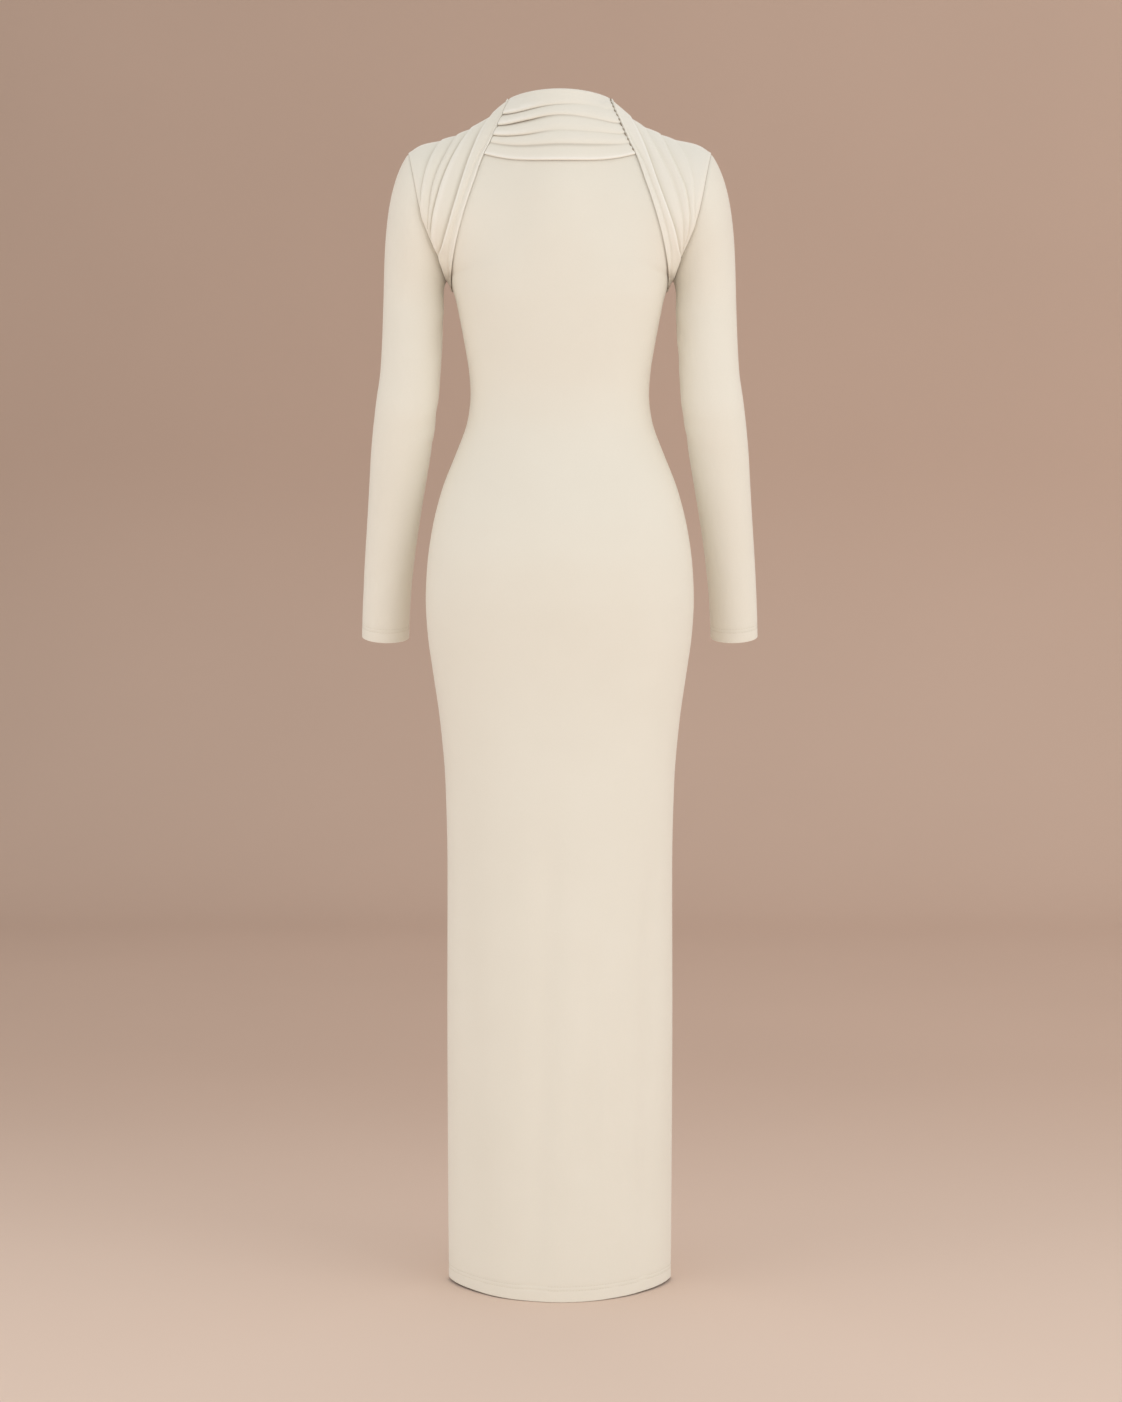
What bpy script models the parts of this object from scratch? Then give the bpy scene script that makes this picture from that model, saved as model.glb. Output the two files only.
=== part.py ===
"""Knit maxi dress with long sleeves, a pleated neck drape and pleated shoulder drapes.

The dress is filled out as on a wearer who isn't there: every panel is a thin wall round an open
hollow. Metres, +Z up. The dress's back faces -Y. The origin lies midway between the shoulder
seams, where a wearer's shoulders hold the dress.

A body panel is worked out in two zones. Below the chest line it is a loft through the rows of
SECTIONS. Above it, the panel is a patch between four edges: the chest line, the side seam and
armhole, the shoulder seam and neckline, and the centre line. A place on either zone is named by
across (0 at the centre line, 1 at the side) and up (0 at the chest line, 1 at the top edge).
"""

import math
from collections import namedtuple

import bmesh
import bpy
from mathutils import Vector

CLOTH = 0.0016
SEAM_GAP = 0.0003
DRAPE_CLEARANCE = 0.0010
NECK_DRAPE_CLEARANCE = 0.0014

BACK = -1
FRONT = 1
LEFT = -1
RIGHT = 1

HEM_DIP = 0.0035
CHEST_LINE = -0.200
CHEST_EASE = 1.4
UNDERARM_EASE = 5.0
UNDERARM_REACH = 0.6
SIDE_EASE = 2.2
SIDE_STEPS = 2
ARMHOLE_STEPS = 12
PATCH_STEPS = SIDE_STEPS + ARMHOLE_STEPS
NECK_COLUMNS = 5
SHOULDER_COLUMNS = 7
HALF_COLUMNS = NECK_COLUMNS + SHOULDER_COLUMNS
NECK_SHARE = NECK_COLUMNS / HALF_COLUMNS

NECK_SMOOTHING = 0.40
NECK_SMOOTHING_EASE = 0.6
SMOOTHING_WEIGHTS = (1, 3, 5, 6, 5, 3, 1)
SMOOTHING_MIDDLE = 3
NECK_HALF_WIDTH = 0.062
NECK_SIDE_HEIGHT = 0.0475
NeckCurve = namedtuple("NeckCurve", "depth height roundness fall")
NECK_BACK = NeckCurve(depth=0.061, height=0.0505, roundness=1.5, fall=2.3)
NECK_FRONT = NeckCurve(depth=0.070, height=-0.020, roundness=1.05, fall=1.6)

Section = namedtuple("Section", "height half_width back front roundness")
SECTIONS = (
    Section(-1.424, 0.1405, 0.1150, 0.1060, 1.38),
    Section(-1.300, 0.1412, 0.1130, 0.1050, 1.36),
    Section(-1.100, 0.1418, 0.1100, 0.1030, 1.30),
    Section(-0.900, 0.1412, 0.1070, 0.1010, 1.25),
    Section(-0.800, 0.1434, 0.1065, 0.1000, 1.18),
    Section(-0.720, 0.1500, 0.1085, 0.1000, 1.12),
    Section(-0.660, 0.1585, 0.1130, 0.1010, 1.06),
    Section(-0.610, 0.1653, 0.1195, 0.1030, 1.00),
    Section(-0.570, 0.1675, 0.1245, 0.1050, 0.98),
    Section(-0.530, 0.1658, 0.1260, 0.1055, 0.96),
    Section(-0.480, 0.1590, 0.1195, 0.1030, 0.95),
    Section(-0.430, 0.1462, 0.1060, 0.0990, 0.95),
    Section(-0.385, 0.1284, 0.0930, 0.0950, 0.94),
    Section(-0.345, 0.1143, 0.0850, 0.0945, 0.93),
    Section(-0.315, 0.1109, 0.0845, 0.0985, 0.92),
    Section(-0.290, 0.1124, 0.0880, 0.1050, 0.89),
    Section(-0.250, 0.1188, 0.0960, 0.1160, 0.83),
    Section(-0.200, 0.1284, 0.1045, 0.1190, 0.73),
)
ROW_HEIGHTS = (
    -1.424, -1.404, -1.330, -1.220, -1.100, -0.980, -0.870, -0.780, -0.710, -0.655, -0.610,
    -0.565, -0.520, -0.475, -0.435, -0.400, -0.365, -0.335, -0.305, -0.270, -0.235,
)

CentrePoint = namedtuple("CentrePoint", "height depth")
BACK_CENTRE = (
    CentrePoint(-0.200, 0.1045),
    CentrePoint(-0.160, 0.1090),
    CentrePoint(-0.120, 0.1115),
    CentrePoint(-0.080, 0.1090),
    CentrePoint(-0.045, 0.1010),
    CentrePoint(-0.015, 0.0900),
    CentrePoint(0.015, 0.0770),
    CentrePoint(0.035, 0.0670),
    CentrePoint(0.0505, 0.0610),
)
FRONT_CENTRE = (
    CentrePoint(-0.200, 0.1190),
    CentrePoint(-0.165, 0.1130),
    CentrePoint(-0.130, 0.1030),
    CentrePoint(-0.095, 0.0925),
    CentrePoint(-0.060, 0.0820),
    CentrePoint(-0.020, 0.0700),
)

ArmholePoint = namedtuple("ArmholePoint", "half_width back front height")
ARMHOLE = (
    ArmholePoint(0.1375, 0.0000, 0.0000, -0.1720),
    ArmholePoint(0.1400, 0.0200, 0.0185, -0.1655),
    ArmholePoint(0.1470, 0.0390, 0.0355, -0.1490),
    ArmholePoint(0.1565, 0.0550, 0.0500, -0.1300),
    ArmholePoint(0.1655, 0.0645, 0.0575, -0.1085),
    ArmholePoint(0.1720, 0.0670, 0.0580, -0.0845),
    ArmholePoint(0.1770, 0.0610, 0.0515, -0.0595),
    ArmholePoint(0.1820, 0.0455, 0.0385, -0.0365),
    ArmholePoint(0.1855, 0.0240, 0.0200, -0.0225),
    ArmholePoint(0.1870, 0.0000, 0.0000, -0.0185),
)

SeamPoint = namedtuple("SeamPoint", "half_width height")
SHOULDER_SEAM = (
    SeamPoint(0.0620, 0.0475),
    SeamPoint(0.0770, 0.0295),
    SeamPoint(0.0940, 0.0178),
    SeamPoint(0.1140, 0.0078),
    SeamPoint(0.1340, 0.0000),
    SeamPoint(0.1540, -0.0062),
    SeamPoint(0.1720, -0.0118),
    SeamPoint(0.1870, -0.0185),
)

FOLD_START = 0.25
FOLD_END = 0.125
SkirtFold = namedtuple("SkirtFold", "x_top x_bottom top bottom depth half_width")
BACK_FOLDS = (
    SkirtFold(-0.008, -0.034, -0.76, -1.50, 0.0042, 0.017),
    SkirtFold(0.038, 0.030, -0.95, -1.30, 0.0022, 0.014),
    SkirtFold(0.118, 0.100, -0.80, -1.50, 0.0034, 0.013),
    SkirtFold(-0.118, -0.108, -0.68, -1.50, 0.0034, 0.018),
    SkirtFold(0.072, 0.066, -1.08, -1.50, 0.0020, 0.014),
    SkirtFold(-0.072, -0.078, -1.15, -1.50, -0.0016, 0.016),
)
FRONT_FOLDS = (
    SkirtFold(0.020, 0.036, -0.78, -1.50, 0.0036, 0.018),
    SkirtFold(-0.050, -0.046, -0.92, -1.45, 0.0024, 0.015),
    SkirtFold(0.108, 0.098, -0.74, -1.50, 0.0030, 0.016),
    SkirtFold(-0.112, -0.104, -0.82, -1.50, 0.0032, 0.015),
)

ArmSection = namedtuple("ArmSection", "height centre_x centre_y half_width half_depth")
ARM = (
    ArmSection(-0.215, 0.1817, 0.0000, 0.0380, 0.0430),
    ArmSection(-0.252, 0.1834, -0.0015, 0.0376, 0.0425),
    ArmSection(-0.290, 0.1859, -0.0030, 0.0374, 0.0415),
    ArmSection(-0.327, 0.1899, -0.0030, 0.0387, 0.0415),
    ArmSection(-0.355, 0.1938, 0.0005, 0.0384, 0.0405),
    ArmSection(-0.390, 0.1988, 0.0070, 0.0371, 0.0385),
    ArmSection(-0.430, 0.2038, 0.0150, 0.0349, 0.0370),
    ArmSection(-0.475, 0.2094, 0.0250, 0.0327, 0.0350),
    ArmSection(-0.520, 0.2145, 0.0350, 0.0312, 0.0335),
    ArmSection(-0.565, 0.2185, 0.0450, 0.0302, 0.0324),
    ArmSection(-0.600, 0.2206, 0.0530, 0.0300, 0.0318),
    ArmSection(-0.6175, 0.2213, 0.0570, 0.0300, 0.0317),
)
ARM_RINGS = 11
CAP_RINGS = 6
RUN_STEP = 0.004
CAP_CROWDING = 1.15
SLEEVE_COLUMNS = 2 * ARMHOLE_STEPS
SLEEVE_LEAVE = 0.56
SLEEVE_CAP_LEAVE = 0.03
SLEEVE_CAP_REACH = 0.86

EdgePoint = namedtuple("EdgePoint", "height half_width")
DRAPE_EDGE = (
    EdgePoint(-0.1850, 0.1330),
    EdgePoint(-0.1740, 0.1325),
    EdgePoint(-0.1580, 0.1305),
    EdgePoint(-0.1380, 0.1265),
    EdgePoint(-0.1160, 0.1210),
    EdgePoint(-0.0860, 0.1115),
    EdgePoint(-0.0580, 0.1015),
    EdgePoint(-0.0290, 0.0912),
    EdgePoint(-0.0110, 0.0838),
    EdgePoint(0.0120, 0.0738),
    EdgePoint(0.0300, 0.0665),
    EdgePoint(0.0475, 0.0620),
)

Pleat = namedtuple("Pleat", "underarm low middle high shoulder height")
LEFT_PLEATS = (
    Pleat(0.45, 0.55, 0.36, 0.20, 0.15, 0.0036),
    Pleat(0.72, 0.78, 0.70, 0.50, 0.34, 0.0032),
    Pleat(0.82, 0.86, 0.82, 0.67, 0.50, 0.0030),
    Pleat(0.91, 0.93, 0.92, 0.83, 0.66, 0.0028),
)
RIGHT_PLEATS = (
    Pleat(0.48, 0.60, 0.42, 0.24, 0.17, 0.0034),
    Pleat(0.70, 0.76, 0.66, 0.47, 0.33, 0.0020),
    Pleat(0.82, 0.86, 0.80, 0.64, 0.48, 0.0022),
    Pleat(0.91, 0.93, 0.90, 0.80, 0.64, 0.0016),
)
PLEAT_STATIONS = (0.0, 0.28, 0.54, 0.81, 1.0)
PLEAT_CROWDING = 1.3
PLEAT_FADE = 1 / 3
UNDERARM_LIFT = 0.0006
OUTER_LIFT = 0.0004
PLEAT_PROFILE = ((0.0, 0.08), (0.55, 0.60), (0.92, 1.00))
FOLDED_EDGE_PROFILE = ((0.0, 0.60), (0.50, 0.60), (0.92, 1.00))

NECK_ENDS = (-1.0, 0.0, 1.0)
NeckFold = namedtuple("NeckFold", "left centre right left_height centre_height right_height")
NECK_FOLDS = (
    NeckFold(0.540, 0.205, 0.465, 0.0030, 0.0018, 0.0012),
    NeckFold(0.710, 0.355, 0.690, 0.0034, 0.0024, 0.0018),
    NeckFold(0.810, 0.590, 0.790, 0.0034, 0.0016, 0.0020),
    NeckFold(0.890, 0.780, 0.880, 0.0020, 0.0016, 0.0014),
    NeckFold(1.000, 1.000, 1.000, 0.0012, 0.0012, 0.0012),
)
NECK_DRAPE_LOW_SIDE = -0.0255
NECK_DRAPE_LOW_CENTRE = -0.0385
NECK_DRAPE_RISE = 0.0016
NECK_DRAPE_SIDE_GAP = 0.0013
NECK_DRAPE_COLUMNS = 18
ARMHOLE_INSET = 0.0017
WIDEST_DRAPE_END = 0.93
HALVINGS = 24

IVORY = (0.79, 0.73, 0.62, 1.0)
KNIT_ROUGHNESS = 0.85


def clear_scene():
    for item in list(bpy.data.objects):
        bpy.data.objects.remove(item, do_unlink=True)


def knit_material(name):
    material = bpy.data.materials.new(name)
    material.use_nodes = True
    shader = material.node_tree.nodes["Principled BSDF"]
    shader.inputs["Base Color"].default_value = IVORY
    shader.inputs["Roughness"].default_value = KNIT_ROUGHNESS
    shader.inputs["Metallic"].default_value = 0.0
    return material


def hermite(start, end, leave, arrive, t):
    """A place on the smooth curve that sets off from start along leave and comes in to end along arrive."""
    return (
        (2 * t**3 - 3 * t**2 + 1) * start
        + (t**3 - 2 * t**2 + t) * leave
        + (3 * t**2 - 2 * t**3) * end
        + (t**3 - t**2) * arrive
    )


def smooth_value(places, values, place):
    """The value at a place on a smooth curve through the given values, which never overshoots them."""
    if place <= places[0]:
        return values[0]
    if place >= places[-1]:
        return values[-1]
    steps = [b - a for a, b in zip(places, places[1:])]
    slopes = [(b - a) / step for a, b, step in zip(values, values[1:], steps)]
    index = max(i for i in range(len(steps)) if places[i] <= place)

    def tangent(i):
        if i == 0:
            return slopes[0]
        if i == len(steps):
            return slopes[-1]
        if slopes[i - 1] * slopes[i] <= 0:
            return 0.0
        before = 2 * steps[i] + steps[i - 1]
        after = steps[i] + 2 * steps[i - 1]
        return (before + after) / (before / slopes[i - 1] + after / slopes[i])

    step = steps[index]
    leave, arrive = step * tangent(index), step * tangent(index + 1)
    return hermite(values[index], values[index + 1], leave, arrive, (place - places[index]) / step)


def column(rows, key, name, place):
    """A named column of a table, read on a smooth curve at a place in its key column."""
    places = [getattr(row, key) for row in rows]
    values = [getattr(row, name) for row in rows]
    return smooth_value(places, values, place)


def by_share(rows, name, share):
    """A named column of a table whose rows are evenly spaced from share 0 to share 1."""
    places = [i / (len(rows) - 1) for i in range(len(rows))]
    return smooth_value(places, [getattr(row, name) for row in rows], share)


def ease(share):
    share = min(max(share, 0.0), 1.0)
    return share * share * (3 - 2 * share)


def mix(a, b, share):
    return a + (b - a) * share


def section_point(face, across, height):
    """A point of the loft below the chest line, for a place on the right half of one face."""
    angle = across * math.pi / 2
    half_width = column(SECTIONS, "height", "half_width", height)
    depth = column(SECTIONS, "height", "back" if face == BACK else "front", height)
    roundness = column(SECTIONS, "height", "roundness", height)
    fullness = max(math.cos(angle), 0.0) ** roundness
    dip = HEM_DIP * fullness if height <= SECTIONS[0].height else 0.0
    return Vector((half_width * math.sin(angle), face * depth * fullness, height - dip))


def side_edge(face, up):
    """The side seam above the chest line, then the armhole up to the shoulder's end."""
    turn = SIDE_STEPS / PATCH_STEPS
    underarm = ARMHOLE[0]
    if up <= turn:
        start = section_point(face, 1.0, CHEST_LINE)
        end = Vector((underarm.half_width, 0.0, underarm.height))
        return start.lerp(end, up / turn)
    share = (up - turn) / (1 - turn)
    depth = by_share(ARMHOLE, "back" if face == BACK else "front", share)
    return Vector((by_share(ARMHOLE, "half_width", share), face * depth, by_share(ARMHOLE, "height", share)))


def top_edge(face, across):
    """The neckline from the centre to the neck's side, then the shoulder seam."""
    if across <= NECK_SHARE:
        angle = across / NECK_SHARE * math.pi / 2
        neck = NECK_BACK if face == BACK else NECK_FRONT
        middle = max(math.cos(angle), 0.0)
        height = mix(NECK_SIDE_HEIGHT, neck.height, middle**neck.fall)
        return Vector((NECK_HALF_WIDTH * math.sin(angle), face * neck.depth * middle**neck.roundness, height))
    share = (across - NECK_SHARE) / (1 - NECK_SHARE)
    return Vector((by_share(SHOULDER_SEAM, "half_width", share), 0.0, by_share(SHOULDER_SEAM, "height", share)))


def soft_top_edge(face, across, up):
    """The top edge as the cloth below it takes it up: the further down, the more its corner at the neck is smoothed."""
    reach = min(NECK_SMOOTHING * (1 - up) ** NECK_SMOOTHING_EASE, across, 1 - across)
    total = Vector()
    for i, weight in enumerate(SMOOTHING_WEIGHTS):
        total += weight * top_edge(face, across + reach * (i / SMOOTHING_MIDDLE - 1))
    return total / sum(SMOOTHING_WEIGHTS)


def centre_edge(face, up):
    rows = BACK_CENTRE if face == BACK else FRONT_CENTRE
    height = mix(CHEST_LINE, rows[-1].height, up)
    return Vector((0.0, face * column(rows, "height", "depth", height), height))


def patch_point(face, across, up):
    """A point above the chest line. Its height eases over the shoulder, so front and back join smoothly."""
    low, high = section_point(face, across, CHEST_LINE), soft_top_edge(face, across, up)
    low_centre, low_side = section_point(face, 0.0, CHEST_LINE), section_point(face, 1.0, CHEST_LINE)
    high_centre, high_side = top_edge(face, 0.0), top_edge(face, 1.0)
    centre, side = centre_edge(face, up), side_edge(face, up)
    lift = up**CHEST_EASE
    spread = across ** mix(UNDERARM_EASE, SIDE_EASE, ease(up / UNDERARM_REACH))
    away = side - (1 - lift) * low_side - lift * high_side
    level = centre - (1 - lift) * low_centre - lift * high_centre
    point = (1 - lift) * low + lift * high
    point.x += mix(level.x, away.x, across)
    point.y += mix(level.y, away.y, spread)
    side_rise = (side.z - CHEST_LINE) / (high_side.z - CHEST_LINE)
    rise = mix(up, side_rise, ease(across / NECK_SHARE))
    point.z = mix(CHEST_LINE, high.z, rise)
    return point


def fold_depth(folds, x, height):
    """How far the skirt's soft folds draw the cloth in at a place."""
    depth = 0.0
    for fold in folds:
        share = (fold.top - height) / (fold.top - fold.bottom)
        if share <= 0:
            continue
        middle = mix(fold.x_top, fold.x_bottom, share)
        reach = ease(share / FOLD_START) * ease((1 - share) / FOLD_END)
        depth += fold.depth * reach * math.exp(-(((x - middle) / fold.half_width) ** 2))
    return depth


def form_point(face, across, up):
    """A point of the dress's outer surface. across runs from -1 at the left side to 1 at the right."""
    point = patch_point(face, min(abs(across), 1.0), up)
    if across < 0:
        point.x = -point.x
    return point


def grid_normals(points, ring=False):
    """The direction out of the cloth at each point of a grid, from its neighbours."""
    rows, columns = len(points), len(points[0])
    normals = []
    for i in range(rows):
        line = []
        for j in range(columns):
            up = points[min(i + 1, rows - 1)][j] - points[max(i - 1, 0)][j]
            if ring:
                across = points[i][(j + 1) % columns] - points[i][(j - 1) % columns]
            else:
                across = points[i][min(j + 1, columns - 1)] - points[i][max(j - 1, 0)]
            line.append(across.cross(up).normalized())
        normals.append(line)
    return normals


def moved(points, normals, distance):
    return [
        [point + normal * distance for point, normal in zip(line, directions)]
        for line, directions in zip(points, normals)
    ]


def dips(a, b, c, d, outward):
    """Whether the line a-c of four corners lies deeper than b-d, seen from outside."""
    return (a + c - b - d).dot(outward) < 0


def wall(name, outer, inner, material, ring=False, on_top=False):
    """A closed wall of cloth between two grids of points. A piece on_top of another bends away from it."""
    rows, columns = len(outer), len(outer[0])
    mesh = bpy.data.meshes.new(name)
    shape = bmesh.new()
    sheets = [[[shape.verts.new(point) for point in line] for line in sheet] for sheet in (outer, inner)]

    def quad(a, b, c, d, along_ac=True):
        if along_ac:
            shape.faces.new((a, b, c))
            shape.faces.new((a, c, d))
        else:
            shape.faces.new((a, b, d))
            shape.faces.new((b, c, d))

    spans = columns if ring else columns - 1
    for i in range(rows - 1):
        for j in range(spans):
            k = (j + 1) % columns
            corners = [[sheet[i][j], sheet[i][k], sheet[i + 1][k], sheet[i + 1][j]] for sheet in sheets]
            outside = sum((a.co - b.co for a, b in zip(*corners)), Vector())
            along_ac = dips(*(corner.co for corner in corners[on_top]), outside) != on_top
            for four in corners:
                quad(*four, along_ac)
    for i in (0, rows - 1):
        for j in range(spans):
            k = (j + 1) % columns
            quad(sheets[0][i][j], sheets[0][i][k], sheets[1][i][k], sheets[1][i][j])
    if not ring:
        for j in (0, columns - 1):
            for i in range(rows - 1):
                quad(sheets[0][i][j], sheets[0][i + 1][j], sheets[1][i + 1][j], sheets[1][i][j])
    bmesh.ops.recalc_face_normals(shape, faces=shape.faces)
    shape.to_mesh(mesh)
    shape.free()
    mesh.shade_smooth()
    mesh.materials.append(material)
    item = bpy.data.objects.new(name, mesh)
    bpy.data.collections["knit_maxi_dress"].objects.link(item)
    return item


def body_panel(name, face, folds, material):
    """The back or front of the body, from the hem to the shoulder seams and the neckline."""
    shares = [j / HALF_COLUMNS for j in range(-HALF_COLUMNS, HALF_COLUMNS + 1)]
    points = []
    for height in ROW_HEIGHTS:
        line = []
        for share in shares:
            point = section_point(face, abs(share), height)
            point.x *= math.copysign(1, share)
            line.append(point)
        points.append(line)
    for i in range(PATCH_STEPS + 1):
        points.append([form_point(face, share, i / PATCH_STEPS) for share in shares])

    normals = outward(grid_normals(points), points, 0, Vector((0, 0, ROW_HEIGHTS[0])))
    seam_rows = len(ROW_HEIGHTS) + SIDE_STEPS + 1
    top = len(points) - 1
    for i, line in enumerate(normals):
        for j, share in enumerate(shares):
            on_side = abs(share) == 1 and i < seam_rows
            on_shoulder = i == top and abs(share) >= NECK_SHARE
            if on_side or on_shoulder:
                line[j] = Vector((line[j].x, 0.0, line[j].z)).normalized()
    for line, directions in zip(points, normals):
        for point, direction in zip(line, directions):
            point -= direction * fold_depth(folds, point.x, point.z)
            point.y = face * max(face * point.y, SEAM_GAP / 2)
    wall(name, points, moved(points, normals, -CLOTH), material)
    return points, normals


def skin_at(skin, across, up):
    """The point and the direction out of the cloth at a place on a panel's upper zone, on its own flat facets."""
    points, normals = skin
    first_row = len(ROW_HEIGHTS)
    row = min(max(up, 0.0), 1.0) * PATCH_STEPS
    place = (min(max(across, -1.0), 1.0) + 1) * HALF_COLUMNS
    i = min(int(row), PATCH_STEPS - 1)
    j = min(int(place), 2 * HALF_COLUMNS - 1)
    v, u = row - i, place - j
    i += first_row

    def corners(grid):
        return grid[i][j], grid[i][j + 1], grid[i + 1][j + 1], grid[i + 1][j]

    along_ac = dips(*corners(points), sum(corners(normals), Vector()))

    def blend(grid):
        a, b, c, d = corners(grid)
        if along_ac:
            return a + u * (b - a) + v * (c - b) if u >= v else a + v * (d - a) + u * (c - d)
        return a + u * (b - a) + v * (d - a) if u + v <= 1 else c + (1 - u) * (d - c) + (1 - v) * (b - c)

    return blend(points), blend(normals).normalized()


def sleeve(name, side, back, front, material):
    """A set-in sleeve: a cap that turns from the armhole into a tube down the bent arm to the cuff."""
    ups = [i / PATCH_STEPS for i in range(SIDE_STEPS, PATCH_STEPS + 1)]
    loop = [skin_at(back, side, up) for up in reversed(ups)] + [skin_at(front, side, up) for up in ups[1:-1]]
    rows = list(reversed(ARM))

    def arm_centre(height):
        x = column(rows, "height", "centre_x", height)
        y = column(rows, "height", "centre_y", height)
        return Vector((side * x, y, height))

    def arm_ring(height):
        centre = arm_centre(height)
        low, high = max(height - RUN_STEP, ARM[-1].height), min(height + RUN_STEP, ARM[0].height)
        run = (arm_centre(low) - arm_centre(high)).normalized()
        width_axis = (Vector((side, 0, 0)) - run * run.x * side).normalized()
        depth_axis = run.cross(width_axis).normalized()
        depth_axis = depth_axis if depth_axis.y > 0 else -depth_axis
        half_width = column(rows, "height", "half_width", height)
        half_depth = column(rows, "height", "half_depth", height)
        points = []
        for j in range(SLEEVE_COLUMNS):
            angle = 2 * math.pi * j / SLEEVE_COLUMNS
            points.append(centre + width_axis * half_width * math.cos(angle) - depth_axis * half_depth * math.sin(angle))
        return points, run

    first, run = arm_ring(ARM[0].height)
    rings = []
    for i in range(CAP_RINGS):
        t = (i / CAP_RINGS) ** CAP_CROWDING
        ring = []
        for j, (start, normal) in enumerate(loop):
            angle = 2 * math.pi * j / SLEEVE_COLUMNS
            level = SLEEVE_LEAVE + SLEEVE_CAP_LEAVE * math.cos(angle) ** 2
            leave = Vector((side * level, 0.0, -math.sqrt(1 - level**2)))
            start = start + normal * (SEAM_GAP + CLOTH) + leave * SEAM_GAP
            reach = SLEEVE_CAP_REACH * (first[j] - start).length
            ring.append(hermite(start, first[j], reach * leave, reach * run, t))
        rings.append(ring)
    for i in range(ARM_RINGS + 1):
        rings.append(arm_ring(mix(ARM[0].height, ARM[-1].height, i / ARM_RINGS))[0])
    normals = outward(grid_normals(rings, ring=True), rings, -1, arm_centre(ARM[-1].height))
    for j, (_, normal) in enumerate(loop):
        normals[0][j] = normal
    return wall(name, rings, moved(rings, normals, -CLOTH), material, ring=True)


def outward(normals, points, row, inside):
    """The same directions, all turned round if those of one row face a point inside the cloth's curve."""
    facing = sum(normal.dot(point - inside) for normal, point in zip(normals[row], points[row]))
    return normals if facing > 0 else [[-normal for normal in line] for line in normals]


def first_place(falls_short, low=0.0, high=1.0):
    """The place between low and high up to which a question is answered yes."""
    for _ in range(HALVINGS):
        middle = (low + high) / 2
        if falls_short(middle):
            low = middle
        else:
            high = middle
    return (low + high) / 2


def across_at(face, up, edge_rows):
    """How far across the patch a table of heights and half-widths lies, at one place up it."""

    def falls_short(across):
        point = patch_point(face, across, up)
        return point.x < column(edge_rows, "height", "half_width", point.z)

    return first_place(falls_short)


def up_at(face, across, height):
    """How far up the patch a height lies, at one place across it."""
    return first_place(lambda up: patch_point(face, across, up).z < height)


def band_columns(edges, heights, profiles):
    """Places across a pleated piece and the cloth's lift there: each band rises to its fold, then drops."""
    places, lifts = [], []
    for start, end, height, profile in zip([0.0, *edges], [*edges, 1.0], heights, profiles):
        for share, lift in profile:
            places.append(mix(start, end, share))
            lifts.append(height * lift)
    places.append(1.0)
    lifts.append(heights[-1])
    return places, lifts


def drape_inner_edge(face):
    """Where a shoulder drape's inner edge crosses each row of a panel, from below the armhole to the seam."""
    ups = [i / PATCH_STEPS for i in range(SIDE_STEPS - 1, PATCH_STEPS + 1)]
    return [(up, min(max(across_at(face, up, DRAPE_EDGE), NECK_SHARE), WIDEST_DRAPE_END)) for up in ups]


def shoulder_drape(name, side, back, front, pleats, material):
    """A pleated piece round the armhole: from under the arm, up the back, over the shoulder and down the front."""
    stations = [(BACK, back, up, inner) for up, inner in drape_inner_edge(BACK)]
    stations += [(FRONT, front, up, inner) for up, inner in reversed(drape_inner_edge(FRONT)[:-1])]
    turn = SIDE_STEPS / PATCH_STEPS
    inner, outer = [], []
    for face, skin, up, inner_across in stations:
        share = 1 - (1 - max(up - turn, 0.0) / (1 - turn)) ** PLEAT_CROWDING
        edges = [smooth_value(PLEAT_STATIONS, pleat[:-1], share) for pleat in pleats]
        fade = ease(share / PLEAT_FADE)
        heights = [mix(UNDERARM_LIFT, pleat.height, fade) for pleat in pleats] + [OUTER_LIFT]
        places, lifts = band_columns(edges, heights, [FOLDED_EDGE_PROFILE] + [PLEAT_PROFILE] * len(pleats))
        outer_across = 1 - ARMHOLE_INSET / skin_at(skin, 1.0, up)[0].x
        for sheet, offsets in ((inner, [0.0] * len(lifts)), (outer, [CLOTH + lift for lift in lifts])):
            line = []
            for place, offset in zip(places, offsets):
                point, normal = skin_at(skin, side * mix(inner_across, outer_across, place), up)
                point = point + normal * (DRAPE_CLEARANCE + offset)
                if up == 1:
                    point.y = 0.0
                else:
                    point.y = face * max(face * point.y, SEAM_GAP)
                line.append(point)
            sheet.append(line)
    return wall(name, outer, inner, material, on_top=True)


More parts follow.
